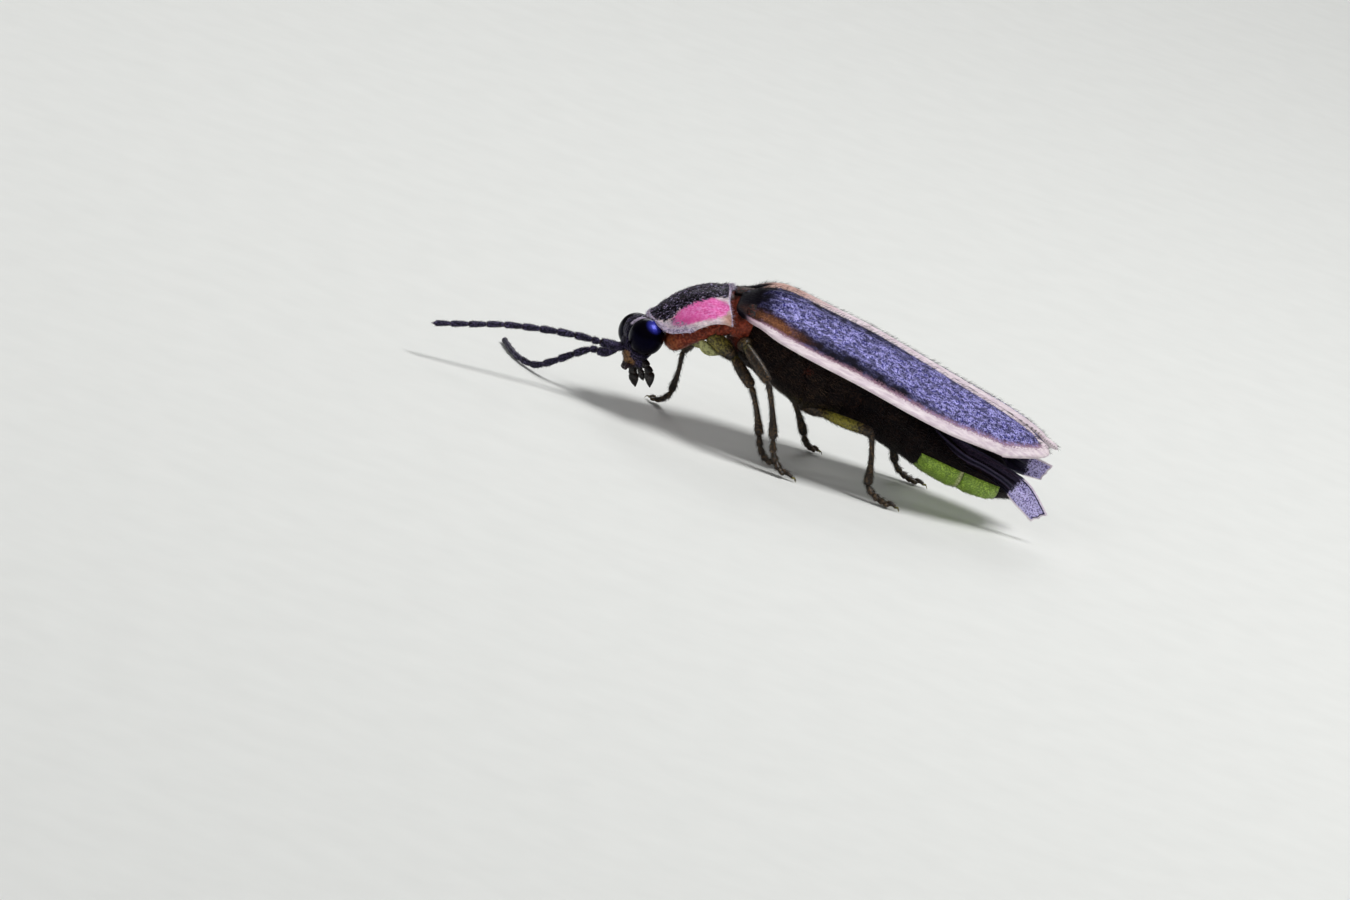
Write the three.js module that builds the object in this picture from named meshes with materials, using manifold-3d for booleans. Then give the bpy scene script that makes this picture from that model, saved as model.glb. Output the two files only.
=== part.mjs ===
// A male firefly standing on a flat floor, life size, in millimetres.
// The head points to -X, the left side faces -Y and the floor is Z = 0.
// X is measured from the front of the head while the pieces are made.
// At the end the whole is moved so that the origin is at the middle of its foot.

import * as THREE from 'three';
import { mergeVertices } from 'three/addons/utils/BufferGeometryUtils.js';
import Module from 'manifold-3d';

const wasm = await Module();
wasm.setup();

// Gaps between neighbouring pieces
const GAP = 0.25;
const EYE_GAP = 0.12;

// Least thickness of wings, legs and feelers
const LEAST = 0.5;

// Wing covers: stations along the length, then half widths at even steps from base to tip
const SUTURE_SLIT = 0.25;
const COVER_X = [2.9, 3.6, 4.0, 4.5, 5.0, 6.0, 7.4, 9.2, 11.0, 12.4, 13.2, 13.8, 14.4];
const COVER_TOP = [4.75, 4.95, 5.15, 5.25, 5.21, 5.05, 4.82, 4.39, 3.93, 3.56, 3.28, 2.98, 2.6];
const COVER_DROP = [0.15, 0.75, 1.05, 1.3, 1.35, 1.36, 1.37, 1.32, 1.2, 1.06, 0.9, 0.74, 0.6];
const COVER_HALF_WIDTH = [1.75, 2.25, 2.38, 2.36, 2.2, 1.55];
const COVER_ARCH = { parabola: 0.55, wave: 0.225 };
const COVER_BASE = { middle: 3.65, shoulder: 3.05, curve: 1.5 };
const COVER_TIP = { rounding: 1.62, curve: 2.6, corner: 0.14, cornerCurve: 7 };
const COVERS = [
  { name: 'elytron_left', side: -1, tip: 14.06, lift: 0 },
  { name: 'elytron_right', side: 1, tip: 14.36, lift: 0.26 },
];
const COVER_RIM = 0.36;
const COVER_RIM_SHARE = 0.2;
const COVER_STEPS = [18, 6];

// Hind wings, folded under the covers with the tips out behind: path as [x, out from the middle, z]
const WINGS = [
  { name: 'hindwing_left', side: -1,
    path: [
      [5.1, 0.62, 3.88], [7.2, 0.64, 3.52], [9.4, 0.85, 2.85], [11.1, 1.3, 2.0],
      [12.1, 1.22, 1.78], [12.9, 1.08, 1.62], [13.5, 0.95, 1.38], [14.12, 0.85, 0.98],
    ],
    roll: [20, 20, 26, 50, 64, 72, 78, 82],
    wide: [0.7, 1.0, 1.0, 0.9, 0.85, 0.8, 0.78, 0.72] },
  { name: 'hindwing_right', side: 1,
    path: [
      [5.1, 0.62, 3.88], [7.2, 0.64, 3.52], [9.4, 0.66, 3.02], [11.2, 0.6, 2.6],
      [12.5, 0.55, 2.3], [13.3, 0.5, 2.06], [14.15, 0.45, 1.92],
    ],
    roll: [20, 20, 20, 22, 30, 36, 40],
    wide: [0.7, 1.0, 1.0, 1.0, 0.95, 0.9, 0.6] },
];
const WING_STEPS = 14;
const WING_VEINS = [-0.62, 0, 0.62];
const WING_TROUGHS = [-1, -0.3, 0.3, 1];
const VEIN_RISE = 0.09;

// Shield over the neck
const SHIELD_X = [0.7, 1.17, 1.73, 2.34, 2.8, 3.1];
const SHIELD_TOP = [3.14, 3.71, 4.2, 4.53, 4.71, 4.83];
const SHIELD_DROP = [2.3, 2.0, 1.15, 0.72, 0.7, 0.92];
const SHIELD = { halfWidth: 1.75, front: 0.75, sweep: 1.2, curve: 1.8, rear: 3.08 };
const SHIELD_RIM = 0.34;
const SHIELD_RIM_SHARE = { front: 0.33, side: 0.25 };
const SHIELD_STEPS = [9, 14];

// Small plate between the bases of the wing covers
const SCUTELLUM = { front: 3.3, rear: 3.95, half: 0.42, point: 0.92, under: 0.02, lift: 0.12, crown: 0.25 };
const SCUTELLUM_STEPS = [5, 6];

// Body, as stations from the front of the head
const PROTHORAX = {
  x: [1.42, 1.75, 2.3, 2.8, 3.18],
  top: [2.95, 3.35, 3.75, 3.95, 4.05],
  bottom: [2.45, 2.28, 2.5, 2.68, 2.85],
  half: [0.62, 0.92, 1.12, 1.2, 1.12],
};
const THORAX = {
  x: [3.4, 3.8, 4.5, 5.3, 6.1, 6.62],
  top: [4.3, 4.55, 4.65, 4.55, 4.4, 4.1],
  bottom: [2.9, 2.66, 2.5, 2.2, 1.97, 2.02],
  half: [1.1, 1.5, 1.7, 1.75, 1.7, 1.5],
};
const ABDOMEN = {
  x: [6.85, 7.8, 8.6, 9.4, 10.2, 11.5, 12.8, 13.3],
  top: [3.25, 3.05, 2.9, 2.75, 2.55, 2.3, 1.95, 1.55],
  bottom: [1.98, 1.8, 1.62, 1.4, 1.17, 0.93, 0.92, 1.02],
  half: [1.35, 1.5, 1.6, 1.62, 1.6, 1.45, 0.95, 0.45],
};
const SEGMENT_ENDS = [6.85, 7.7, 8.5, 9.25, 9.98, 11.47, 12.78, 13.3];
const SEGMENT_SHARES = [0.03, 0.5, 0.97];
const SEGMENT_FLARE = 0.045;
const BODY_SIDES = 16;
const BODY_ROUND = 0.88;

// Light organs on the underside of two segments, below a sloping line
const LIGHT_SPANS = [
  { name: 'lantern_front', front: 9.98, rear: 11.47 },
  { name: 'lantern_rear', front: 11.47, rear: 12.78 },
];
const LIGHT_TOP = { front: 1.62, rear: 1.42 };

// Head, turned a little to its left and tilted, its pieces in the head's own frame
const HEAD_CENTRE = new THREE.Vector3(0.735, 0, 2.42);
const HEAD_TURN = 10;
const HEAD_ROLL = -8;
const EYE = { out: 0.6, radius: 0.55, inner: 0.26, tall: 1.05 };
const CROWN = { along: 0.56, across: 0.6, tall: 0.62, back: 0.13 };
const MUZZLE = {
  from: [-0.12, 0, -0.35],
  to: [-0.18, 0, -1.08],
  profile: [[0, 0.4], [0.5, 0.38], [0.85, 0.31], [1, 0.19]],
};
const MUZZLE_SIDES = 10;
const JAW = {
  from: [-0.3, 0.2, -0.95],
  to: [-0.2, 0.05, -1.27],
  profile: [[0, 0.13], [0.6, 0.1], [1, 0.04]],
};
const LIP = {
  from: [-0.05, 0.12, -0.95],
  to: [0.12, 0.16, -1.3],
  profile: [[0, 0.16], [0.7, 0.16], [1, 0.04]],
};
const PALP = {
  joints: [[0.22, 0.3, -0.62], [0.3, 0.42, -0.95], [0.42, 0.45, -1.12], [0.66, 0.47, -1.5]],
  profiles: [
    [[0, 0.2], [0.5, 0.24], [1.1, 0.2]],
    [[-0.4, 0.22], [0.5, 0.25], [1.2, 0.2]],
    [[-0.2, 0.2], [0.3, 0.25], [0.7, 0.2], [1, 0.05]],
  ],
};

// Feelers: a long joint, a short one and nine like ones, on a line from a socket in the head
const FEELER = { scape: 0.62, pedicel: 0.3, joint: 0.53, count: 9, sides: 6 };
const FEELER_PROFILE = [[-0.06, 0.15], [0.3, 0.225], [0.75, 0.25], [0.97, 0.2], [1.06, 0.15]];
const FEELER_ROOT = [-0.06, 0.175];
const FEELER_TIP = [[0.97, 0.12], [1, 0.05]];
const FEELER_SOCKET = [-0.5, 0.3, -0.55];
const FEELERS = [
  { name: 'antenna_left', side: -1,
    line: [
      [-0.43, 0.5, 1.84], [-1.3, 0.6, 1.88], [-2.4, 0.85, 1.79],
      [-3.5, 1.1, 1.63], [-4.5, 1.35, 1.39], [-5.5, 1.55, 1.13],
    ] },
  { name: 'antenna_right', side: 1,
    line: [
      [-0.35, 0.42, 1.52], [-0.96, 0.55, 1.13], [-1.42, 0.75, 0.69], [-1.9, 1.2, 0.36],
      [-2.3, 1.85, 0.24], [-2.56, 2.65, 0.22], [-2.7, 3.5, 0.22], [-2.78, 4.05, 0.22],
    ] },
];

// Legs: joints as [x, out from the middle, z], and profiles as [share of the length, radius]
const LEGS = [
  { name: 'leg_front_left', side: -1,
    hip: [2.72, 0.65, 2.95], joints: [[3.34, 1.12, 2.88], [4.28, 1.72, 2.24], [5.0, 1.75, 0.86]],
    toe: [5.85, 1.82] },
  { name: 'leg_front_right', side: 1,
    hip: [2.62, 0.7, 2.9], joints: [[2.62, 1.15, 2.62], [2.36, 1.62, 1.98], [2.44, 1.72, 0.6]],
    toe: [1.95, 2.35] },
  { name: 'leg_middle_left', side: -1,
    hip: [3.8, 1.05, 3.3], joints: [[3.62, 1.75, 3.48], [4.62, 2.42, 2.68], [5.32, 2.6, 1.05]],
    toe: [6.25, 2.8] },
  { name: 'leg_middle_right', side: 1,
    hip: [4.35, 0.9, 2.75], joints: [[4.75, 1.35, 2.3], [5.85, 1.95, 1.9], [6.9, 2.05, 0.5]],
    toe: [7.5, 2.25] },
  { name: 'leg_hind_left', side: -1,
    hip: [6.0, 0.75, 2.15], joints: [[6.62, 1.05, 1.72], [8.22, 2.15, 2.05], [8.62, 2.25, 0.5]],
    toe: [9.65, 2.4] },
  { name: 'leg_hind_right', side: 1,
    hip: [6.0, 0.75, 2.15], joints: [[6.66, 1.15, 1.64], [8.95, 2.25, 1.85], [9.82, 2.2, 0.5]],
    toe: [11.0, 2.15] },
];
const COXA_PROFILE = [[0, 0.26], [0.5, 0.31], [1.1, 0.25]];
const HIP_SOCKET = [[-0.25, 0.28], [0.5, 0.31], [1.3, 0.28]];
const FEMUR_PROFILE = [[-0.1, 0.24], [0.4, 0.29], [0.9, 0.25], [1.06, 0.18]];
const TIBIA_PROFILE = [[-0.06, 0.2], [0.1, 0.25], [0.9, 0.25], [1.05, 0.2]];
const TARSUS_PROFILE = [[-0.12, 0.205], [0.6, 0.25], [1.05, 0.22]];
const TARSUS = { joints: 5, height: 0.14, sides: 8, bend: 0.15, drop: 0.55, heel: 0.42 };
const CLAW = { length: 0.32, root: 0.05, height: 0.064, spread: 25, sides: 5 };
const CLAW_PROFILE = [[0, 0.16], [1, 0.04]];

const COLOURS = {
  black: '#1d1a1d', cover: '#2b2a3c', shield: '#c9838e', red: '#6e2d20', brown: '#2b1d18',
  light: '#c6d37a', wing: '#4a4560', leg: '#3a2a20', eye: '#0e0d12', horn: '#4a3527',
};

// Further than any piece reaches, for the blocks that cut them
const BEYOND = 20;

const AXIS_Y = new THREE.Vector3(0, 1, 0);
const at = (x, y, z) => new THREE.Vector3(x, y, z);
const rad = THREE.MathUtils.degToRad;
const lerp = THREE.MathUtils.lerp;

// A point of one side: out from the middle is made left or right
const sided = (side, [x, out, z]) => at(x, side * out, z);

// A smooth value along a row of stations
function along(stations, values) {
  const track = new THREE.CubicInterpolant(stations, values, 1);
  return (x) => track.evaluate(x)[0];
}

// Volume enclosed by an indexed geometry, negative where its faces point in
function signedVolume(geometry) {
  const p = geometry.getAttribute('position');
  const i = geometry.getIndex();
  const [a, b, c] = [at(0, 0, 0), at(0, 0, 0), at(0, 0, 0)];
  let sum = 0;
  for (let t = 0; t < i.count; t += 3) {
    a.fromBufferAttribute(p, i.getX(t));
    b.fromBufferAttribute(p, i.getX(t + 1));
    c.fromBufferAttribute(p, i.getX(t + 2));
    sum += a.dot(b.cross(c)) / 6;
  }
  return sum;
}

// An indexed geometry from points and triangles, with its faces pointing out
function indexed(points, triangles) {
  const geometry = new THREE.BufferGeometry().setFromPoints(points);
  geometry.setIndex(triangles);
  if (signedVolume(geometry) < 0) {
    geometry.setIndex(triangles.slice().reverse());
  }
  return geometry;
}

// A closed skin over a row of rings, with a fan over each end
function skinOver(rings) {
  const count = rings[0].length;
  const points = rings.flat();
  const triangles = [];
  for (let r = 0; r + 1 < rings.length; r += 1) {
    for (let k = 0; k < count; k += 1) {
      const a = r * count + k;
      const b = r * count + (k + 1) % count;
      triangles.push(a, b, b + count, a, b + count, a + count);
    }
  }
  const ends = [[0, rings[0]], [(rings.length - 1) * count, rings[rings.length - 1]]];
  ends.forEach(([first, ring], end) => {
    const middle = points.length;
    const centre = ring.reduce((sum, p) => sum.add(p), at(0, 0, 0)).divideScalar(count);
    points.push(centre);
    for (let k = 0; k < count; k += 1) {
      const a = first + k;
      const b = first + (k + 1) % count;
      triangles.push(...(end === 0 ? [middle, b, a] : [middle, a, b]));
    }
  });
  return indexed(points, triangles);
}

// A closed plate under a surface of (u, v), split alike on both faces
function plateUnder(surface, thickness, steps, swell = 0) {
  const [nu, nv] = steps;
  const reach = at(0, 0, 0);
  const lengthU = reach.subVectors(surface(1, 0.5), surface(0, 0.5)).length();
  const lengthV = reach.subVectors(surface(0.5, 1), surface(0.5, 0)).length();
  const nudge = 1e-3;
  const faces = [[], []];
  for (let i = 0; i <= nu; i += 1) {
    for (let j = 0; j <= nv; j += 1) {
      const u = lerp(-swell / lengthU, 1 + swell / lengthU, i / nu);
      const v = lerp(-swell / lengthV, 1 + swell / lengthV, j / nv);
      const p = surface(u, v);
      const pu = surface(u + nudge, v).sub(surface(u - nudge, v));
      const pv = surface(u, v + nudge).sub(surface(u, v - nudge));
      const normal = pu.cross(pv).normalize();
      if (normal.z < 0) {
        normal.negate();
      }
      faces[0].push(p.clone().addScaledVector(normal, swell));
      faces[1].push(p.clone().addScaledVector(normal, -thickness(u, v) - swell));
    }
  }
  const row = nv + 1;
  const under = faces[0].length;
  const triangles = [];
  for (let i = 0; i < nu; i += 1) {
    for (let j = 0; j < nv; j += 1) {
      const a = i * row + j;
      triangles.push(a, a + row, a + row + 1, a, a + row + 1, a + 1);
      const b = under + a;
      triangles.push(b, b + row + 1, b + row, b, b + 1, b + row + 1);
    }
  }
  const rim = [
    ...Array.from({ length: nv }, (_, j) => j),
    ...Array.from({ length: nu }, (_, i) => i * row + nv),
    ...Array.from({ length: nv }, (_, j) => nu * row + nv - j),
    ...Array.from({ length: nu }, (_, i) => (nu - i) * row),
  ];
  rim.forEach((a, k) => {
    const b = rim[(k + 1) % rim.length];
    triangles.push(a, b, b + under, a, b + under, a + under);
  });
  return indexed([...faces[0], ...faces[1]], triangles);
}

// A turned body from one point to another, its profile as [share of length, radius]
function turned(from, to, profile, sides = 7) {
  const span = to.clone().sub(from);
  const length = span.length();
  const outline = profile.map(([share, radius]) => new THREE.Vector2(radius, share * length));
  outline.unshift(new THREE.Vector2(0, profile[0][0] * length));
  outline.push(new THREE.Vector2(0, profile[profile.length - 1][0] * length));
  const geometry = new THREE.LatheGeometry(outline, sides);
  geometry.applyQuaternion(new THREE.Quaternion().setFromUnitVectors(AXIS_Y, span.normalize()));
  geometry.translate(from.x, from.y, from.z);
  return geometry;
}

// A profile made fatter by an even amount
const fatter = (profile, swell) => profile.map(([share, radius]) => [share, radius + swell]);

function ball(centre, rx, ry, rz, across = 16, up = 10) {
  const geometry = new THREE.SphereGeometry(1, across, up);
  geometry.rotateX(Math.PI / 2);
  geometry.scale(rx, ry, rz);
  geometry.translate(centre.x, centre.y, centre.z);
  return geometry;
}

function block(low, high) {
  const size = high.clone().sub(low);
  const geometry = new THREE.BoxGeometry(size.x, size.y, size.z);
  geometry.translate(low.x + size.x / 2, low.y + size.y / 2, low.z + size.z / 2);
  return geometry;
}

// The solid that a closed geometry bounds
function solid(geometry) {
  const bare = geometry.clone();
  bare.deleteAttribute('normal');
  bare.deleteAttribute('uv');
  const merged = mergeVertices(bare, 1e-4);
  const index = Array.from(merged.getIndex().array);
  const triangles = [];
  for (let t = 0; t < index.length; t += 3) {
    const [a, b, c] = index.slice(t, t + 3);
    if (a !== b && b !== c && c !== a) {
      triangles.push(a, b, c);
    }
  }
  return new wasm.Manifold(new wasm.Mesh({
    numProp: 3,
    vertProperties: new Float32Array(merged.getAttribute('position').array),
    triVerts: new Uint32Array(triangles),
  }));
}

const joined = (solids) => solids.reduce((sum, piece) => sum.add(piece));
const fuse = (geometries) => joined(geometries.map(solid));

// Largest closed surface of a solid, as a geometry
function surfaceOf(body) {
  const pieces = body.decompose();
  const largest = pieces.reduce((best, piece) => (piece.volume() > best.volume() ? piece : best));
  const mesh = largest.getMesh();
  const points = [];
  for (let k = 0; k < mesh.vertProperties.length; k += mesh.numProp) {
    points.push(at(...mesh.vertProperties.slice(k, k + 3)));
  }
  const geometry = new THREE.BufferGeometry().setFromPoints(points);
  geometry.setIndex(Array.from(mesh.triVerts));
  geometry.computeVertexNormals();
  return geometry;
}

const firefly = new THREE.Group();

function addNode(name, body, colour, roughness = 0.5, metalness = 0) {
  const material = new THREE.MeshStandardMaterial({ color: COLOURS[colour], roughness, metalness });
  const mesh = new THREE.Mesh(surfaceOf(body), material);
  mesh.name = name;
  firefly.add(mesh);
}

// Everything under the floor, cut from what rests on it
const underFloor = solid(block(at(-BEYOND, -BEYOND, -BEYOND), at(BEYOND, BEYOND, 0)));

// Wing covers

const coverTop = along(COVER_X, COVER_TOP);
const coverDrop = along(COVER_X, COVER_DROP);
const coverShare = COVER_HALF_WIDTH.map((value, k) => k / (COVER_HALF_WIDTH.length - 1));
const coverHalf = along(coverShare, COVER_HALF_WIDTH);
const coverArch = (v) => COVER_ARCH.parabola * v * v + COVER_ARCH.wave * (1 - Math.cos(Math.PI * v));

const coverSurface = (spec) => (u, v) => {
  const across = Math.abs(v);
  const base = lerp(COVER_BASE.middle, COVER_BASE.shoulder, across ** COVER_BASE.curve);
  const round = COVER_TIP.rounding * across ** COVER_TIP.curve;
  const corner = COVER_TIP.corner * (1 - THREE.MathUtils.clamp(v, 0, 1)) ** COVER_TIP.cornerCurve;
  const x = lerp(base, spec.tip - round - corner, u);
  const half = coverHalf(THREE.MathUtils.clamp(u, 0, 1));
  const z = coverTop(x) - coverDrop(x) * coverArch(across) + spec.lift * u * u;
  return at(x, spec.side * lerp(SUTURE_SLIT / 2, half, v), z);
};

function cover(spec, swell = 0) {
  const thickness = (u, v) => {
    const inward = THREE.MathUtils.clamp((1 - v) / COVER_RIM_SHARE, 0, 1);
    return lerp(COVER_RIM, LEAST, inward);
  };
  return solid(plateUnder(coverSurface(spec), thickness, COVER_STEPS, swell));
}

// Hind wings, each a strip along its path with main veins as ridges

// The section of a strip as [across, through, rise], once round
const wingSection = [
  ...[...WING_TROUGHS.map((across) => [across, 1, 0]), ...WING_VEINS.map((across) => [across, 1, 1])]
    .sort((a, b) => a[0] - b[0]),
  [1, -1, 0], [0, -1, 0], [-1, -1, 0],
];

function hindwing(wing, swell = 0) {
  const shares = wing.path.map((point, k) => k / (wing.path.length - 1));
  const tracks = [0, 1, 2].map((axis) => along(shares, wing.path.map((point) => point[axis])));
  const roll = along(shares, wing.roll);
  const wide = along(shares, wing.wide);
  const centre = (t) => sided(wing.side, tracks.map((track) => track(t)));
  const look = 0.02;
  const rise = swell > 0 ? 0 : VEIN_RISE;
  const rings = [];
  for (let k = 0; k <= WING_STEPS; k += 1) {
    const t = k / WING_STEPS;
    const ahead = centre(Math.min(t + look, 1)).sub(centre(Math.max(t - look, 0))).normalize();
    const level = at(0, wing.side, 0).addScaledVector(ahead, -wing.side * ahead.y).normalize();
    const outward = level.applyAxisAngle(ahead, wing.side * -rad(roll(t)));
    const face = outward.clone().cross(ahead).multiplyScalar(-wing.side).normalize();
    const middle = centre(t);
    if (k === 0) {
      middle.addScaledVector(ahead, -swell);
    }
    if (k === WING_STEPS) {
      middle.addScaledVector(ahead, swell);
    }
    const halfWide = wide(t) / 2 + swell;
    const halfThick = LEAST / 2 + swell;
    rings.push(wingSection.map(([across, through, vein]) => middle.clone()
      .addScaledVector(outward, across * halfWide)
      .addScaledVector(face, through * halfThick + vein * rise)));
  }
  return solid(skinOver(rings));
}

// Shield over the neck

const shieldTop = along(SHIELD_X, SHIELD_TOP);
const shieldDrop = along(SHIELD_X, SHIELD_DROP);

function shieldSurface(u, v) {
  const across = 2 * v - 1;
  const front = SHIELD.front + SHIELD.sweep * Math.abs(across) ** SHIELD.curve;
  const x = lerp(front, SHIELD.rear, u);
  return at(x, across * SHIELD.halfWidth, shieldTop(x) - shieldDrop(x) * across * across);
}

function shield(swell = 0) {
  const thickness = (u, v) => {
    const inward = Math.min(u / SHIELD_RIM_SHARE.front, Math.min(v, 1 - v) / SHIELD_RIM_SHARE.side);
    return lerp(SHIELD_RIM, LEAST, THREE.MathUtils.clamp(inward, 0, 1));
  };
  return solid(plateUnder(shieldSurface, thickness, SHIELD_STEPS, swell));
}

// Small plate between the bases of the covers

function scutellumSurface(u, v) {
  const x = lerp(SCUTELLUM.front, SCUTELLUM.rear, u);
  const half = SCUTELLUM.half * Math.sqrt(Math.max(1 - SCUTELLUM.point, 1 - SCUTELLUM.point * u * u));
  const y = (2 * v - 1) * half;
  return at(x, y, coverTop(x) - SCUTELLUM.under - SCUTELLUM.lift * u - SCUTELLUM.crown * y * y);
}

const scutellum = (swell = 0) => solid(plateUnder(scutellumSurface, () => LEAST, SCUTELLUM_STEPS, swell));

// Body pieces, as rings across the length

// A shape of the sine or cosine that makes an oval a little squarer
const squared = (value) => Math.sign(value) * Math.abs(value) ** BODY_ROUND;

function bodyRing(x, half, top, bottom) {
  const ring = [];
  for (let k = 0; k < BODY_SIDES; k += 1) {
    const turn = (2 * Math.PI * k) / BODY_SIDES;
    const y = half * squared(Math.cos(turn));
    const z = (top + bottom) / 2 + ((top - bottom) / 2) * squared(Math.sin(turn));
    ring.push(at(x, y, z));
  }
  return ring;
}

function bodyTracks(part) {
  return [along(part.x, part.half), along(part.x, part.top), along(part.x, part.bottom)];
}

function trunk(part, steps) {
  const [half, top, bottom] = bodyTracks(part);
  const rings = [];
  for (let k = 0; k <= steps; k += 1) {
    const x = lerp(part.x[0], part.x[part.x.length - 1], k / steps);
    rings.push(bodyRing(x, half(x), top(x), bottom(x)));
  }
  return solid(skinOver(rings));
}

// The abdomen whole, each segment a little wider at its hind edge
function abdomenWhole() {
  const [half, top, bottom] = bodyTracks(ABDOMEN);
  const rings = [];
  for (let s = 0; s + 1 < SEGMENT_ENDS.length; s += 1) {
    SEGMENT_SHARES.forEach((share, k) => {
      const x = lerp(SEGMENT_ENDS[s], SEGMENT_ENDS[s + 1], share);
      const flare = 1 + SEGMENT_FLARE * (k - 1);
      const middle = (top(x) + bottom(x)) / 2;
      const tall = ((top(x) - bottom(x)) / 2) * flare;
      rings.push(bodyRing(x, half(x) * flare, middle + tall, middle - tall));
    });
  }
  return solid(skinOver(rings));
}

// A wedge below the sloping line where the light organs end, from front to rear
function lightWedge(front, rear, swell) {
  const first = LIGHT_SPANS[0].front;
  const last = LIGHT_SPANS[LIGHT_SPANS.length - 1].rear;
  const line = (x) => lerp(LIGHT_TOP.front, LIGHT_TOP.rear, (x - first) / (last - first));
  const outline = new THREE.Shape();
  outline.moveTo(front - swell, 0);
  outline.lineTo(rear + swell, 0);
  outline.lineTo(rear + swell, line(rear) + swell);
  outline.lineTo(front - swell, line(front) + swell);
  outline.closePath();
  const geometry = new THREE.ExtrudeGeometry(outline, { depth: 2 * BEYOND, bevelEnabled: false });
  geometry.rotateX(Math.PI / 2);
  geometry.translate(0, BEYOND, 0);
  return solid(geometry);
}

// Everything behind the start of the abdomen's last segment
function behindLastSegment(swell) {
  const start = SEGMENT_ENDS[SEGMENT_ENDS.length - 2];
  return solid(block(at(start + GAP - swell, -BEYOND, 0), at(BEYOND, BEYOND, BEYOND)));
}

// Head

const headPose = new THREE.Matrix4().makeTranslation(HEAD_CENTRE.x, HEAD_CENTRE.y, HEAD_CENTRE.z)
  .multiply(new THREE.Matrix4().makeRotationZ(rad(HEAD_TURN)))
  .multiply(new THREE.Matrix4().makeRotationX(rad(HEAD_ROLL)));
const onHead = (geometry) => solid(geometry.clone().applyMatrix4(headPose));
const headPoint = (point) => point.applyMatrix4(headPose);

function eye(side, swell = 0) {
  const radius = EYE.radius + swell;
  const globe = onHead(ball(at(0, side * EYE.out, 0), radius, radius, radius * EYE.tall));
  const inner = side * (EYE.inner - swell);
  const outer = side * BEYOND;
  const low = at(-BEYOND, Math.min(inner, outer), -BEYOND);
  const high = at(BEYOND, Math.max(inner, outer), BEYOND);
  return globe.intersect(onHead(block(low, high)));
}

const eyesSwollen = eye(-1, EYE_GAP).add(eye(1, EYE_GAP));

// The head without its eyes: crown, muzzle, jaws and lips
function skull(swell = 0) {
  const centre = at(CROWN.back, 0, 0);
  const crown = ball(centre, CROWN.along + swell, CROWN.across + swell, CROWN.tall + swell);
  const profile = fatter(MUZZLE.profile, swell);
  profile[profile.length - 1][0] += swell;
  const muzzle = turned(at(...MUZZLE.from), at(...MUZZLE.to), profile, MUZZLE_SIDES);
  const mouth = [-1, 1].flatMap((side) => [JAW, LIP].map((piece) => (
    turned(sided(side, piece.from), sided(side, piece.to), fatter(piece.profile, swell)))));
  return joined([crown, muzzle, ...mouth].map(onHead));
}

function palp(side) {
  const joints = PALP.joints.map((joint) => headPoint(sided(side, joint)));
  const pieces = PALP.profiles.map((profile, k) => turned(joints[k], joints[k + 1], profile));
  return fuse(pieces).subtract(skull(EYE_GAP)).subtract(eyesSwollen);
}

// A feeler, its joints strung along a line
function feeler(spec) {
  const socket = headPoint(sided(spec.side, FEELER_SOCKET));
  const curve = new THREE.CatmullRomCurve3([socket, ...spec.line.map((point) => sided(spec.side, point))]);
  const lengths = [FEELER.scape, FEELER.pedicel, ...Array(FEELER.count).fill(FEELER.joint)];
  const total = lengths.reduce((sum, length) => sum + length);
  const pieces = [];
  let start = 0;
  lengths.forEach((length, k) => {
    const from = curve.getPointAt(start / total);
    const to = curve.getPointAt((start + length) / total);
    const profile = FEELER_PROFILE.slice();
    if (k === 0) {
      profile[0] = FEELER_ROOT;
    }
    if (k === lengths.length - 1) {
      profile.splice(-FEELER_TIP.length, FEELER_TIP.length, ...FEELER_TIP);
    }
    pieces.push(turned(from, to, profile, FEELER.sides));
    start += length;
  });
  return fuse(pieces).subtract(underFloor).subtract(skull(EYE_GAP)).subtract(eyesSwollen);
}

// Legs

// The foot's joints along a bend from the ankle down to the toe
function foot(ankle, toe) {
  const bend = ankle.clone().lerp(toe, TARSUS.bend).setZ(lerp(ankle.z, toe.z, TARSUS.drop));
  const heel = ankle.clone().lerp(toe, TARSUS.heel).setZ(toe.z);
  const curve = new THREE.CubicBezierCurve3(ankle, bend, heel, toe);
  const pieces = [];
  for (let k = 0; k < TARSUS.joints; k += 1) {
    const from = curve.getPointAt(k / TARSUS.joints);
    const to = curve.getPointAt((k + 1) / TARSUS.joints);
    pieces.push(turned(from, to, TARSUS_PROFILE, TARSUS.sides));
  }
  return pieces;
}

function claws(ankle, toe) {
  const ahead = toe.clone().sub(ankle).setZ(0).normalize();
  return [-1, 1].map((turn) => {
    const out = ahead.clone().applyAxisAngle(at(0, 0, 1), rad(CLAW.spread * turn));
    const from = toe.clone().addScaledVector(out, CLAW.root);
    const tip = toe.clone().addScaledVector(out, CLAW.length).setZ(CLAW.height);
    return turned(from, tip, CLAW_PROFILE, CLAW.sides);
  });
}

// A leg from hip to claws, its foot cut flat by the floor
function leg(spec) {
  const hip = sided(spec.side, spec.hip);
  const [thigh, knee, ankle] = spec.joints.map((joint) => sided(spec.side, joint));
  const toe = sided(spec.side, [...spec.toe, TARSUS.height]);
  return fuse([
    turned(hip, thigh, COXA_PROFILE),
    turned(thigh, knee, FEMUR_PROFILE),
    turned(knee, ankle, TIBIA_PROFILE),
    ...foot(ankle, toe),
    ...claws(ankle, toe),
  ]).subtract(underFloor);
}

// The room that a hip needs in the body
function hipSocket(spec) {
  const [hip, thigh] = [spec.hip, spec.joints[0]].map((point) => sided(spec.side, point));
  return solid(turned(hip, thigh, fatter(HIP_SOCKET, GAP)));
}

// Put together, each piece clear of those it meets

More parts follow.
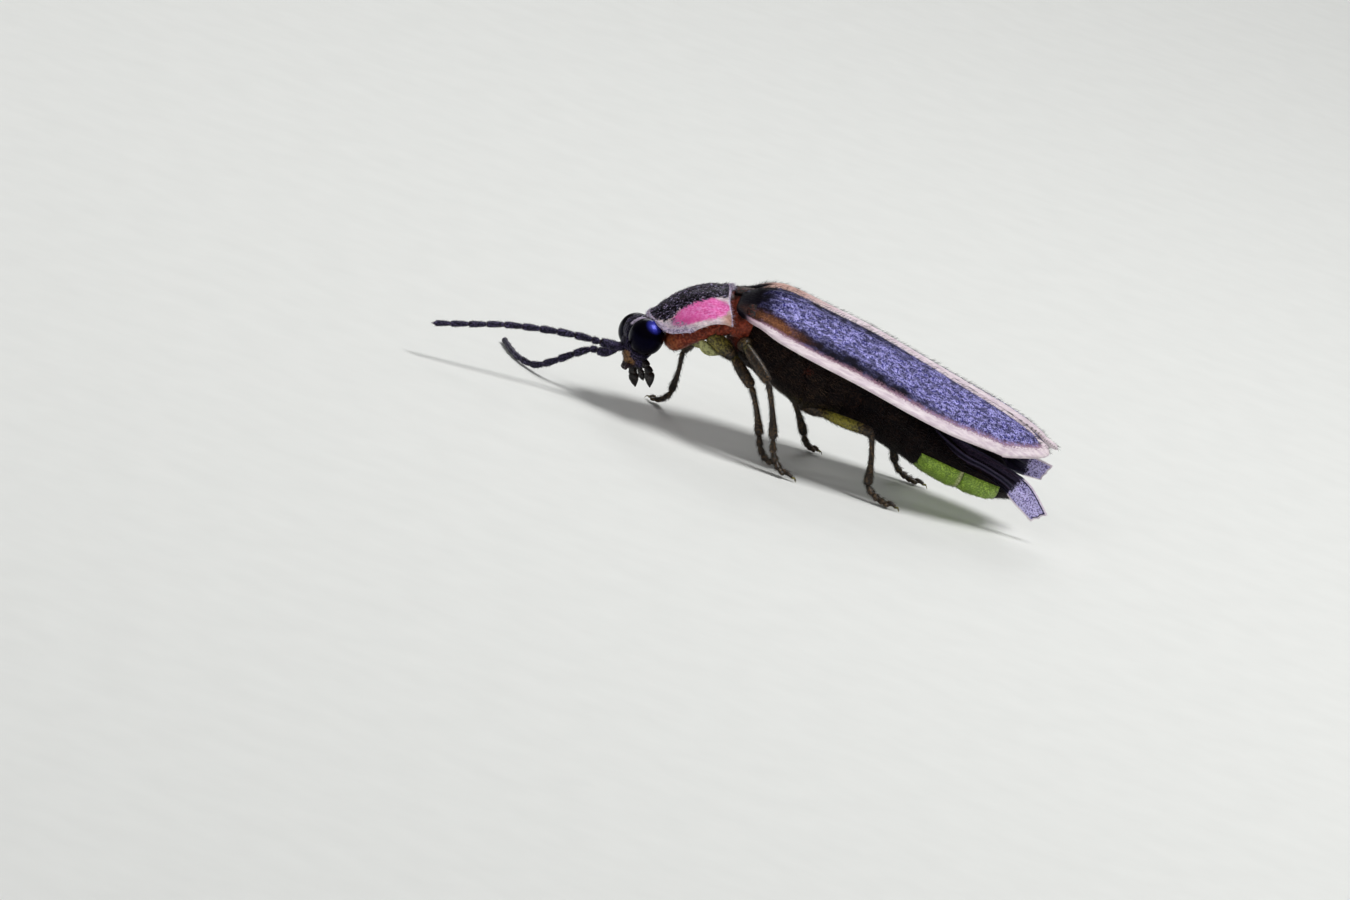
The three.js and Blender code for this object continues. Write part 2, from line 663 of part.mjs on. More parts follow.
const shieldSwollen = shield(GAP);
const coversSwollen = joined(COVERS.map((spec) => cover(spec, GAP)));
const wingsSwollen = joined(WINGS.map((wing) => hindwing(wing, GAP)));
const headSwollen = skull(GAP).add(eyesSwollen);
const hipSockets = joined(LEGS.map(hipSocket));

COVERS.forEach((spec) => addNode(spec.name, cover(spec).subtract(shieldSwollen), 'cover', 0.4));
WINGS.forEach((wing) => addNode(wing.name, hindwing(wing), 'wing', 0.35));

addNode('head', skull().subtract(eyesSwollen), 'black', 0.35);
addNode('eye_left', eye(-1), 'eye', 0.15);
addNode('eye_right', eye(1), 'eye', 0.15);
addNode('palp_left', palp(-1), 'horn');
addNode('palp_right', palp(1), 'horn');
FEELERS.forEach((spec) => addNode(spec.name, feeler(spec), 'black'));

addNode('pronotum', shield().subtract(headSwollen), 'shield', 0.45);
const prothorax = trunk(PROTHORAX, 5).subtract(shieldSwollen).subtract(headSwollen);
addNode('prothorax', prothorax.subtract(hipSockets), 'red');
addNode('scutellum', scutellum().subtract(coversSwollen).subtract(shieldSwollen), 'red');
const thorax = trunk(THORAX, 8).subtract(coversSwollen).subtract(wingsSwollen);
addNode('thorax', thorax.subtract(scutellum(GAP)).subtract(hipSockets), 'brown');

const wholeAbdomen = abdomenWhole().subtract(wingsSwollen);
let abdomen = wholeAbdomen.subtract(behindLastSegment(GAP));
LIGHT_SPANS.forEach((span) => {
  const lantern = wholeAbdomen.intersect(lightWedge(span.front + GAP / 2, span.rear - GAP / 2, 0));
  addNode(span.name, lantern, 'light', 0.3);
  abdomen = abdomen.subtract(lightWedge(span.front - GAP / 2, span.rear + GAP, GAP));
});
addNode('abdomen', abdomen, 'brown');
addNode('abdomen_tip', wholeAbdomen.intersect(behindLastSegment(0)), 'brown');

LEGS.forEach((spec) => addNode(spec.name, leg(spec), 'leg'));

// The origin goes to the middle of the foot of the whole
const box = new THREE.Box3().setFromObject(firefly);
const middle = box.getCenter(at(0, 0, 0));
firefly.position.set(-middle.x, -middle.y, -box.min.z);

export default firefly;
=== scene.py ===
import math
from functools import partial

import bmesh
import bpy
import numpy as np
from bpy.props import FloatProperty, FloatVectorProperty, IntProperty, PointerProperty
from mathutils import Matrix, Vector
from mathutils.kdtree import KDTree


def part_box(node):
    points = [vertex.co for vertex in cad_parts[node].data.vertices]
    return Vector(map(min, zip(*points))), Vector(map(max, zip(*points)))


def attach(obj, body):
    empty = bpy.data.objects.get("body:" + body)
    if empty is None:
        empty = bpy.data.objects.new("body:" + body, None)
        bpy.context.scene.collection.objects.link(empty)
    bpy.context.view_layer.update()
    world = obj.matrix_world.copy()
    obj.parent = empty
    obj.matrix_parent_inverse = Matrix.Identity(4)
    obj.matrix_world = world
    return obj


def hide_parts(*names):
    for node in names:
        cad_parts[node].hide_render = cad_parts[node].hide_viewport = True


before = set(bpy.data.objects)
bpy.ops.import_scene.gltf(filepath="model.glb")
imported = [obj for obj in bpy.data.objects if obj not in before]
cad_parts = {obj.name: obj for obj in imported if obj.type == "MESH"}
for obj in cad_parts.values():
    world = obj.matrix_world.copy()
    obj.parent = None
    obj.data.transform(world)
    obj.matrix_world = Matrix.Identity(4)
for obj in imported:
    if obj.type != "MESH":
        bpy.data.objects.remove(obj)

bl_info = {
    "name": "Firefly",
    "version": (1, 0, 0),
    "blender": (4, 5, 0),
    "location": "3D View > Sidebar > Firefly",
    "description": "A life-size male firefly with its coat, on a plain studio floor",
    "category": "Add Mesh",
}

# Pieces are made in millimetres, X from the front of the head, Y from the middle and Z from the floor
MM = 0.001
THORAX_FRONT = 3.4
SIDES = {"left": -1, "right": 1}

# Wing covers: height of the middle line and drop to the edge at stations along them, half width at even
# shares
COVER_X = [2.9, 3.6, 4.0, 4.5, 5.0, 6.0, 7.4, 9.2, 11.0, 12.4, 13.2, 13.8, 14.4]
COVER_TOP = [4.75, 4.95, 5.15, 5.25, 5.21, 5.05, 4.82, 4.39, 3.93, 3.56, 3.28, 2.98, 2.6]
COVER_DROP = [0.26, 0.77, 1.05, 1.3, 1.35, 1.36, 1.37, 1.32, 1.2, 1.06, 0.9, 0.74, 0.6]
COVER_HALF_WIDTH = [1.5, 2.25, 2.38, 2.36, 2.2, 1.55]
COVER_BASE_SHOULDER = 3.05
COVER_BASE_SLOPE = 0.25
COVER_NOTCH = (0.42, 0.13)
COVER_SHOULDER_ROUND = 0.16
COVER_TIP = {-1: 14.06, 1: 14.36}
COVER_TIP_ROUNDING = 1.62
COVER_TIP_CORNER = 0.14
COVER_LIFT = {-1: 0.0, 1: 0.26}
SUTURE = 0.03
RIB_PLACES = (0.26, 0.45, 0.64)
# Width of the pale outer margin and of the pale inner one, at shares of the length
OUTER_MARGIN = ([0, 0.03, 0.16, 0.3, 0.6, 0.85, 1], [0.06, 0.08, 0.3, 0.36, 0.4, 0.38, 0.28])
INNER_MARGIN = ([0, 0.06, 0.5, 0.85, 1], [0.12, 0.26, 0.29, 0.27, 0.22])

# Shield over the neck, its rear edge given at shares from the middle out
SHIELD_X = [0.7, 1.17, 1.73, 2.34, 2.8, 3.1]
SHIELD_TOP = [3.14, 3.71, 4.2, 4.53, 4.71, 4.83]
SHIELD_DROP = [2.3, 2.0, 1.17, 0.84, 0.83, 0.94]
SHIELD_HALF_WIDTH = 1.77
SHIELD_FRONT = 0.66
SHIELD_FRONT_SWEEP = 1.25
SHIELD_REAR = ([0, 0.4, 0.65, 0.8, 1], [2.92, 2.87, 2.9, 3.0, 3.12])
# Share across at which the dark cap ends and the pink patch begins and ends, at shares of the length
CAP_EDGE = ([0, 0.05, 0.1, 0.18, 0.28, 0.45, 0.63, 0.85, 1],
            [0.3, 0.4, 0.48, 0.51, 0.48, 0.5, 0.48, 0.46, 0.4])
PINK_INNER = ([0.08, 0.31, 0.41, 0.58, 0.7, 0.82, 0.96], [0.58, 0.48, 0.46, 0.45, 0.47, 0.54, 0.64])
PINK_OUTER = ([0.08, 0.29, 0.51, 0.78, 0.96], [0.84, 0.88, 0.91, 0.86, 0.78])

# Trunk, as stations along the length
NECK = {
    "x": [1.42, 1.75, 2.05, 2.3, 2.8, 3.12, 3.5, 3.75],
    "top": [2.95, 3.35, 3.6, 3.75, 4.1, 4.5, 4.66, 4.72],
    "bottom": [2.4, 2.27, 2.44, 2.7, 3.06, 3.24, 3.28, 3.2],
    "half": [0.66, 0.94, 1.05, 1.12, 1.24, 1.42, 1.62, 1.6],
}
THORAX = {
    "x": [3.4, 3.8, 4.5, 5.3, 6.1, 7.3],
    "top": [4.3, 4.55, 4.65, 4.55, 4.4, 4.1],
    "bottom": [2.9, 2.66, 2.45, 2.1, 1.86, 1.86],
    "half": [1.1, 1.5, 1.7, 1.75, 1.7, 1.5],
}
# Seams between the thorax's plates: place at the level of their middle, and slope
THORAX_SEAMS = ((4.1, 0.4), (4.9, 0.3), (5.75, -0.25), (6.5, -0.3))
ABDOMEN = {
    "x": [6.85, 7.8, 8.6, 9.4, 10.2, 11.5, 12.8, 13.3],
    "top": [4.3, 4.05, 3.75, 3.3, 2.8, 2.38, 1.95, 1.55],
    "bottom": [1.82, 1.67, 1.56, 1.38, 1.17, 0.93, 0.92, 1.02],
    "half": [1.35, 1.5, 1.6, 1.62, 1.6, 1.45, 0.95, 0.45],
}
SEGMENT_ENDS = [6.55, 7.7, 8.5, 9.25, 9.98, 11.47, 12.78, 13.3]
# Each segment swells toward its rear edge and laps over the next one: height at shares of its length
SEGMENT_SHARES = [0.0, 0.03, 0.1, 0.25, 0.4, 0.55, 0.7, 0.82, 0.9, 0.95, 0.98]
SEGMENT_LIFT = [-0.05, -0.015, 0.0, 0.008, 0.012, 0.016, 0.022, 0.03, 0.038, 0.042, 0.02]
LIGHT_SPANS = {"front": (9.98, 11.47), "rear": (11.47, 12.78)}
LIGHT_TOP = (1.84, 1.42)
BODY_ROUND = 0.88
SCUTELLUM = {"front": 3.25, "rear": 3.8, "half": 0.36, "lift": 0.1}

# Head, turned a little to its left and tilted; what follows is in its own frame, its eyes at the level of 0
HEAD_CENTRE = (0.735, 0.0, 2.42)
HEAD_TURN = 10
HEAD_ROLL = -8
EYE_OUT = 0.6
EYE_RADIUS = 0.55
EYE_TALL = 1.05
# Direction from each eye's centre to its patch of painted highlight and stronger shine
EYE_HIGHLIGHT_DIRECTION = (0.1, 0.69, 0.71)
# Balls that fuse into the head and muzzle, as centre and half sizes: in the middle, then on both sides
HEAD_BALLS = [
    ((0.1, 0, 0.02), (0.6, 0.56, 0.6)),
    ((-0.12, 0, 0.1), (0.46, 0.42, 0.5)),
    ((-0.16, 0, -0.36), (0.38, 0.42, 0.36)),
    ((-0.08, 0, -0.62), (0.34, 0.38, 0.34)),
    ((-0.06, 0, -0.86), (0.25, 0.29, 0.24)),
    ((-0.12, 0, -1.0), (0.17, 0.23, 0.13)),
    ((-0.2, 0, -1.06), (0.11, 0.17, 0.07)),
]
HEAD_PAIRS = [
    ((-0.38, 0.15, -0.5), (0.16, 0.13, 0.15)),
    ((0.06, 0.3, -0.5), (0.32, 0.24, 0.28)),
    ((0.12, 0.2, -0.82), (0.2, 0.17, 0.2)),
]
JAW = [(-0.16, 0.22, -0.95), (-0.22, 0.2, -1.1), (-0.2, 0.03, -1.2)]
HEAD_CELL = 0.022
LARGE_PALP = {
    "left": [(0.18, -0.24, -0.7), (0.36, -0.36, -0.9), (0.49, -0.41, -1.06), (0.63, -0.4, -1.5)],
    "right": [(0.03, 0.26, -0.86), (0.13, 0.38, -1.06), (0.25, 0.43, -1.27), (0.45, 0.47, -1.66)],
}
SMALL_PALP = [(0.16, 0.06, -0.92), (0.28, 0.08, -1.06), (0.37, 0.08, -1.16), (0.47, 0.08, -1.37)]
SMALL_PALP_SIZE = 0.62

# Feelers: roots in the head's frame, then nine like joints after a long one and a short one
FEELER_JOINTS = 9
FEELER_ROOTS = {
    "left": [(-0.34, -0.12, -0.5), (-0.52, -0.16, -0.53), (-0.85, -0.22, -0.55)],
    "right": [(-0.34, 0.12, -0.5), (-0.52, 0.16, -0.56), (-0.85, 0.34, -0.86)],
}
FEELER_LINES = {
    "left": [(-1.3, -0.6, 1.88), (-2.4, -0.85, 1.79), (-3.5, -1.1, 1.63), (-4.5, -1.35, 1.39),
             (-5.7, -1.57, 1.09)],
    "right": [(-0.497, 0.32, 1.44), (-0.96, 0.5, 1.1), (-1.42, 0.75, 0.66), (-1.9, 1.2, 0.24),
              (-2.3, 1.85, 0.13), (-2.56, 2.65, 0.12), (-2.7, 3.5, 0.12), (-2.78, 4.05, 0.12)],
}
# Width of a like joint and of the first two joints together, at shares of their length
JOINT_SWELL = [(0, 0.38), (0.07, 0.7), (0.35, 0.88), (0.75, 1.0), (0.93, 0.9), (1, 0.38)]
SCAPE_SWELL = [(0, 0.7), (0.1, 0.95), (0.55, 1.25), (0.74, 1.1), (0.79, 0.5), (0.84, 0.85), (0.94, 0.95),
               (1, 0.4)]

# Legs: side, hip, then thigh, knee and ankle, each as x, out from the middle and z, and the toe's x and out
LEGS = {
    "front_left": (-1, (2.62, 0.93, 3.26), [(3.5, 1.14, 2.87), (4.28, 1.72, 2.24), (5.0, 1.75, 0.86)],
                   (5.85, 1.82)),
    "front_right": (1, (2.5, 0.95, 2.98), [(2.62, 1.15, 2.62), (2.36, 1.62, 1.98), (2.44, 1.72, 0.6)],
                    (1.95, 2.35)),
    "middle_left": (-1, (3.8, 1.05, 3.3), [(3.62, 1.75, 3.48), (4.62, 2.42, 2.68), (5.32, 2.6, 1.05)],
                    (6.25, 2.8)),
    "middle_right": (1, (4.35, 0.9, 2.75), [(4.75, 1.35, 2.3), (5.85, 1.95, 1.9), (6.9, 2.05, 0.5)],
                     (7.5, 2.25)),
    "hind_left": (-1, (6.0, 0.75, 2.15), [(6.62, 1.05, 2.0), (8.22, 2.15, 2.1), (8.62, 2.25, 0.5)],
                  (9.65, 2.4)),
    "hind_right": (1, (6.0, 0.75, 2.15), [(6.66, 1.15, 1.64), (9.1, 2.25, 1.85), (9.93, 2.2, 0.5)],
                   (11.0, 2.15)),
}
TOE_HEIGHT = 0.11
THIN_LEG = ("front_right", 0.85)
# The five joints of a foot: start and end as shares of its length, and half width at the end. The fourth one
# is lobed and the last one carries the claws, and each part of a leg has a row of its unrolled sheet.
FOOT_JOINTS = [(0.0, 0.3, 0.16), (0.27, 0.5, 0.185), (0.46, 0.66, 0.205), (0.6, 0.82, 0.13),
               (0.72, 1.0, 0.08)]
LOBED_JOINT = 3
CLAW_JOINT = 4
LEG_ROWS = 14

# Hairs fade out between these heights over the floor, so that the feet stand clear of them
SOLE_CLEAR = (0.12, 0.25)
# Each hair turns by chance between these angles in radians, mostly to its sides, and varies in size
HAIR_TURN = ((0.0, -0.2, -0.5), (0.0, 0.25, 0.5))
HAIR_SIZES = (0.65, 1.2)
# How far a hair's tip bows, as a share of its length, and the width of its patch in the unrolled sheet
HAIR_BOW = 0.3
HAIR_PATCH = 0.003

# Hind wings, folded under the covers with the tips out behind: side, path as x, out from the middle and z,
# then the roll in degrees and the width at its points
WINGS = {
    "left": (-1, [(9.4, 0.85, 2.85), (11.1, 1.3, 2.2), (12.1, 1.22, 1.98), (12.9, 1.08, 1.74),
                  (13.5, 0.95, 1.42), (14.23, 0.84, 0.87)],
             [26, 50, 64, 72, 78, 80], [1.0, 0.7, 0.6, 0.64, 0.78, 0.56]),
    "right": (1, [(9.4, 0.66, 3.02), (11.2, 0.62, 2.6), (12.5, 0.6, 2.32), (13.3, 0.54, 2.08),
                  (14.2, 0.42, 2.02)],
              [20, 30, 50, 66, 74], [1.0, 1.0, 0.95, 0.84, 0.62]),
}
# Share of the path at which each wing opens into its pale tip
WING_TIP_START = {-1: 0.62, 1: 0.76}

# Studio: softboxes as place, size, share of the main light's power and whether surfaces mirror them
SOFTBOXES = {
    "Key softbox": ((0.07, -0.007, 0.2), 0.08, 1.1, True),
    "Front fill": ((-0.14, -0.2, 0.12), 0.16, 0.5, False),
    "Rear rim": ((0.0, 0.24, 0.14), 0.12, 0.5, True),
}
FLOOR_HALF = 1.5
SKY = ("#f4f6f8", 0.12)
FILM_WIDTH = 36.0


def linear(colour):
    """An sRGB hex colour as linear red, green, blue and alpha."""
    parts = [int(colour[k:k + 2], 16) / 255 for k in (1, 3, 5)]
    return (*[c / 12.92 if c <= 0.04045 else ((c + 0.055) / 1.055) ** 2.4 for c in parts], 1.0)


def along(stations, values):
    """A smooth value along a row of stations, held level past both ends."""
    t = np.array(stations, float)
    v = np.array(values, float)
    secants = np.diff(v) / np.diff(t)
    slopes = np.concatenate([secants[:1], (secants[1:] + secants[:-1]) / 2, secants[-1:]])

    def track(x):
        x = np.clip(x, t[0], t[-1])
        k = np.clip(np.searchsorted(t, x, side="right"), 1, len(t) - 1)
        h = t[k] - t[k - 1]
        p = (x - t[k - 1]) / h
        start = (2 * p**3 - 3 * p**2 + 1) * v[k - 1] + (p**3 - 2 * p**2 + p) * h * slopes[k - 1]
        return start + (3 * p**2 - 2 * p**3) * v[k] + (p**3 - p**2) * h * slopes[k]

    return track


def step(low, high, x):
    """0 at low, 1 at high, with a smooth rise between; high may be the lower of the two."""
    p = np.clip((np.asarray(x, float) - low) / (high - low), 0, 1)
    return p * p * (3 - 2 * p)


def bump(x, middle, half):
    """A smooth hill of height 1 about a middle."""
    return np.exp(-(((x - middle) / half) ** 2))


def unit(vectors):
    """Vectors made one long."""
    return vectors / np.maximum(np.linalg.norm(vectors, axis=-1, keepdims=True), 1e-9)


def lengths_along(points):
    """The length of a line at each of its points."""
    return np.concatenate([[0], np.cumsum(np.linalg.norm(np.diff(points, axis=0), axis=1))])


def tracks(stations, points):
    """A smooth place along a row of stations, from a point at each."""
    parts = [along(stations, np.array(points, float)[:, k]) for k in range(3)]
    return lambda x: np.stack([part(x) for part in parts], axis=-1)


def smooth_path(points, count):
    """Points evenly along a smooth line through the given ones."""
    reach = lengths_along(np.array(points, float))
    return tracks(reach, points)(np.linspace(0, reach[-1], count))


def squared(angle):
    """Cosine and sine of an angle, filled out toward their corners as the body's sections are."""
    parts = np.cos(angle), np.sin(angle)
    return [np.sign(part) * np.abs(part) ** BODY_ROUND for part in parts]


def full_turn(sides):
    """Even angles once round."""
    return np.linspace(0, 2 * math.pi, sides, endpoint=False)


HEAD_POSE = (Matrix.Translation(HEAD_CENTRE) @ Matrix.Rotation(math.radians(HEAD_TURN), 4, "Z")
             @ Matrix.Rotation(math.radians(HEAD_ROLL), 4, "X"))


def on_head(points):
    """Points of the head's own frame, placed."""
    return np.array(points, float) @ np.array(HEAD_POSE.to_3x3()).T + np.array(HEAD_POSE.translation)


def read(items, title, width=1, kind=np.float32):
    """One property of every point, corner or value of a mesh."""
    values = np.empty(len(items) * width, kind)
    items.foreach_get(title, values)
    return values.reshape(-1, width) if width > 1 else values


def keep(mesh, places, values):
    """Keeps values on a mesh's points, and the place of each corner in its skin's unrolled sheet."""
    mesh.uv_layers.new(name="unwrap").data.foreach_set("uv", np.array(places, np.float32).ravel())
    for title, value in values.items():
        wide = value.ndim == 2
        layer = mesh.attributes.new(title, "FLOAT_VECTOR" if wide else "FLOAT", "POINT")
        layer.data.foreach_set("vector" if wide else "value", value.astype(np.float32).ravel())


def new_object(name, data):
    """An object in the scene's own collection."""
    piece = bpy.data.objects.new(name, data)
    bpy.context.scene.collection.objects.link(piece)
    return piece


def evaluated_mesh(source):
    """What an object's modifiers make, as a plain mesh."""
    graph = bpy.context.evaluated_depsgraph_get()
    return bpy.data.meshes.new_from_object(source.evaluated_get(graph), depsgraph=graph)


def closed(upper, lower):
    """Rows that go over a plate's top and back under it."""
    return np.concatenate([upper, lower[:, ::-1]], axis=1)


def on_top(values):
    """Values of a plate's top, with none on its underside."""
    return closed(values, np.zeros_like(values))


class Skin:
    """The closed surfaces of one piece while it is made, in millimetres."""

    def __init__(self):
        self.points = []
        self.faces = []
        self.corners = []
        self.values = {}
        self.count = 0

    def rings(self, rings, cell=(0, 0, 1, 1), plate=False, **values):
        """Adds a closed surface over a row of rings.

        A plate's rings go over its top and back under it, and a value given for its top holds below as well.
        """
        m, n = rings.shape[:2]
        first = self.count
        grids = {}
        for name, value in values.items():
            if plate and np.shape(value)[1:] == (n // 2,):
                value = closed(value, value)
            width = (3,) if np.ndim(value) in (1, 3) else ()
            grids[name] = np.broadcast_to(value, (m, n) + width)
        us = np.linspace(cell[0], cell[2], m)
        vs = np.linspace(cell[1], cell[3], n + 1)
        for r in range(m - 1):
            for k in range(n):
                after = (k + 1) % n
                a = first + r * n
                self.faces.append((a + k, a + after, a + n + after, a + n + k))
                self.corners += [(us[r], vs[k]), (us[r], vs[k + 1])]
                self.corners += [(us[r + 1], vs[k + 1]), (us[r + 1], vs[k])]
        centres = []
        for r in (0, m - 1):
            a = first + r * n
            if plate:
                for k in range(n // 2 - 1):
                    self.faces.append((a + k, a + k + 1, a + n - 2 - k, a + n - 1 - k))
                    self.corners += [(us[r], vs[k]), (us[r], vs[k + 1]), (us[r], vs[k + 1]), (us[r], vs[k])]
                continue
            centre = first + m * n + len(centres)
            centres.append(r)
            for k in range(n):
                self.faces.append((a + k, a + (k + 1) % n, centre))
                self.corners += [(us[r], vs[k]), (us[r], vs[k + 1]), (us[r], (vs[k] + vs[k + 1]) / 2)]

        def with_centres(grid):
            flat = grid.reshape(m * n, *grid.shape[2:])
            return np.concatenate([flat, [grid[r].mean(axis=0) for r in centres]]) if centres else flat

        self.points.append(with_centres(rings))
        for name, grid in grids.items():
            self.values.setdefault(name, []).append((first, with_centres(grid)))
        self.count += m * n + len(centres)

    def object(self, name, finish):
        """The piece as a mesh object in millimetres with its finish, and its values kept on its points."""
        mesh = bpy.data.meshes.new(name)
        points = np.concatenate(self.points)
        # No point goes under the floor
        points[:, 2] = np.maximum(points[:, 2], 0)
        mesh.from_pydata(points.tolist(), [], self.faces)
        full = {}
        for title, runs in self.values.items():
            full[title] = np.zeros((self.count, *runs[0][1].shape[1:]), np.float32)
            for first, run in runs:
                full[title][first:first + len(run)] = run
        keep(mesh, self.corners, full)
        work = bmesh.new()
        work.from_mesh(mesh)
        bmesh.ops.recalc_face_normals(work, faces=work.faces)
        work.to_mesh(mesh)
        work.free()
        mesh.shade_smooth()
        mesh.materials.append(paint(finish))
        return new_object(name, mesh)


def surface_normals(surface, u, v):
    """Unit normals of a surface of (u, v), on the side where they point up."""
    small = 1e-3
    normals = unit(np.cross(surface(u + small, v) - surface(u - small, v),
                            surface(u, v + small) - surface(u, v - small)))
    return np.where(normals[..., 2:] < 0, -normals, normals)


def edge_steps(count, power=1.6):
    """Shares from 0 to 1, set closer near both ends."""
    t = np.linspace(-1, 1, count)
    return (1 + np.sign(t) * (1 - (1 - np.abs(t)) ** power)) / 2


def nearest(points, targets):
    """Distance from each point to the nearest of the targets."""
    tree = KDTree(len(targets))
    for k, target in enumerate(targets):
        tree.insert(target, k)
    tree.balance()
    return np.array([tree.find(point)[2] for point in points.reshape(-1, 3)]).reshape(points.shape[:-1])


def plate_rings(surface, thickness, us, vs, height=None):
    """Rings of a plate under a surface, its edges rounded, with the (u, v) of its top."""
    u, v = np.meshgrid(us, vs, indexing="ij")
    top = surface(u, v)
    normal = surface_normals(surface, u, v)
    if height is not None:
        top = top + normal * height(u, v, top)[..., None]
    length = np.linalg.norm(top[-1, len(vs) // 2] - top[0, len(vs) // 2])
    across = np.linalg.norm(top[len(us) // 2, -1] - top[len(us) // 2, 0])
    edge = np.minimum(np.minimum(u, 1 - u) * length, np.minimum(v, 1 - v) * across)
    share = np.clip(edge / thickness, 0, 1)
    full = thickness * np.sqrt(1 - 0.96 * (1 - share) ** 2)
    centre = top - normal * (thickness / 2)
    half = normal * (full / 2)[..., None]
    return closed(centre + half, centre - half), u, v


def limb(skin, path, wide, deep, side=(0, 0, 1), sides=14, cell=(0, 0, 1, 1), **values):
    """A tube along a path, with its half width and half depth along it and side pointing across its depth."""
    forward = unit(np.gradient(path, axis=0))
    across = unit(np.cross(np.broadcast_to(np.array(side, float), path.shape), forward))
    through = np.cross(forward, across)
    turn = full_turn(sides)[None, :, None]
    ring = (across[:, None] * (np.cos(turn) * np.asarray(wide)[:, None, None])
            + through[:, None] * (np.sin(turn) * np.asarray(deep)[:, None, None]))
    skin.rings(path[:, None] + ring, cell, lie=np.broadcast_to(forward[:, None], ring.shape), **values)


def round_ends(count, start=0.08, end=0.08):
    """A factor along a limb that closes both ends in a round."""
    t = np.linspace(0, 1, count)
    close = np.ones(count)
    for reach, share in ((t, start), (1 - t, end)):
        if share:
            close *= np.sqrt(np.clip(1 - (1 - np.minimum(reach / share, 1)) ** 2, 0.002, 1))
    return close


def frame_shift():
    """What takes a place from the front of the head to the frame, in millimetres."""
    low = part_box("thorax")[0]
    tip_low, tip_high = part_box("abdomen_tip")
    return np.array([low[0] / MM - THORAX_FRONT, (tip_low[1] + tip_high[1]) / 2 / MM, 0.0])


def settle(piece, slot, *nodes):
    """Puts a piece in place in metres under the root, and hides the parts that it stands for."""
    mesh = piece.data
    placed = (read(mesh.vertices, "co", 3) + frame_shift()) * MM
    mesh.vertices.foreach_set("co", placed.astype(np.float32).ravel())
    mesh.update()
    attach(piece, "root")
    if nodes:
        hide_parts(*nodes)


def feed(tree, node, inputs):
    """Feeds a node's sockets, by name or in order of those in use, from nodes, sockets or plain values."""
    in_use = [socket for socket in node.inputs if socket.enabled]
    for name, value in inputs.items() if isinstance(inputs, dict) else enumerate(inputs):
        socket = node.inputs[name] if isinstance(name, str) else in_use[name]
        if isinstance(value, bpy.types.Node):
            value = next(output for output in value.outputs if output.enabled)
        if isinstance(value, bpy.types.NodeSocket):
            tree.links.new(value, socket)
        else:
            socket.default_value = value


def add(tree, kind, inputs=(), **settings):
    """Adds one node with its settings and what feeds it."""
    node = tree.nodes.new(kind)
    for name, value in settings.items():
        setattr(node, name, value)
    feed(tree, node, inputs)
    return node


def mask(tree, parts, low=None, high=None, least=0.0, most=1.0, times=()):
    """A sum of weighted values, taken smoothly from low to high where these are given, times some others.

    A value is a node, a socket, or the name of one that is kept on the mesh.
    """
    def source(value):
        if isinstance(value, str):
            return add(tree, "ShaderNodeAttribute", attribute_name=value).outputs["Fac"]
        return value

    total = 0.0
    for value, weight in parts.items():
        total = add(tree, "ShaderNodeMath", [source(value), weight, total], operation="MULTIPLY_ADD")
    if low is not None:
        total = add(tree, "ShaderNodeMapRange", [total, low, high, least, most],
                    interpolation_type="SMOOTHSTEP")
    for value in times:
        total = add(tree, "ShaderNodeMath", [total, source(value)], operation="MULTIPLY")
    return total


def layered(tree, colour, *layers):
    """A colour with others laid over it, each given as how far it shows and the colour itself."""
    for share, over in layers:
        colour = add(tree, "ShaderNodeMix", [share, colour, over], data_type="RGBA")
    return colour


def grain(tree, size, detail=3.0, stretch=(1.0, 1.0, 1.0)):
    """A noise about 0 in the object's own coordinates, with marks of about this size in millimetres."""
    place = add(tree, "ShaderNodeTexCoord").outputs["Object"]
    drawn = add(tree, "ShaderNodeVectorMath", [place, stretch], operation="MULTIPLY")
    noise = add(tree, "ShaderNodeTexNoise", {"Vector": drawn, "Scale": 1 / (size * MM), "Detail": detail})
    return add(tree, "ShaderNodeMath", [noise, 0.5], operation="SUBTRACT")


def wrinkles(tree, size, width, stretch=(1.0, 1.0, 1.0)):
    """Fine curling lines about this far apart in millimetres, as bright crests on a dark ground."""
    middle = add(tree, "ShaderNodeMath", [grain(tree, size, 2.0, stretch)], operation="ABSOLUTE")
    return mask(tree, {middle: 1}, width, 0.0)


def relief(tree, *layers):
    """The normal over bumps, each given as its height and its depth in millimetres."""
    normal = None
    for height, depth in layers:
        below = normal
        normal = add(tree, "ShaderNodeBump", {"Height": height, "Distance": depth * MM, "Strength": 1.0})
        if below is not None:
            feed(tree, normal, {"Normal": below})
    return normal
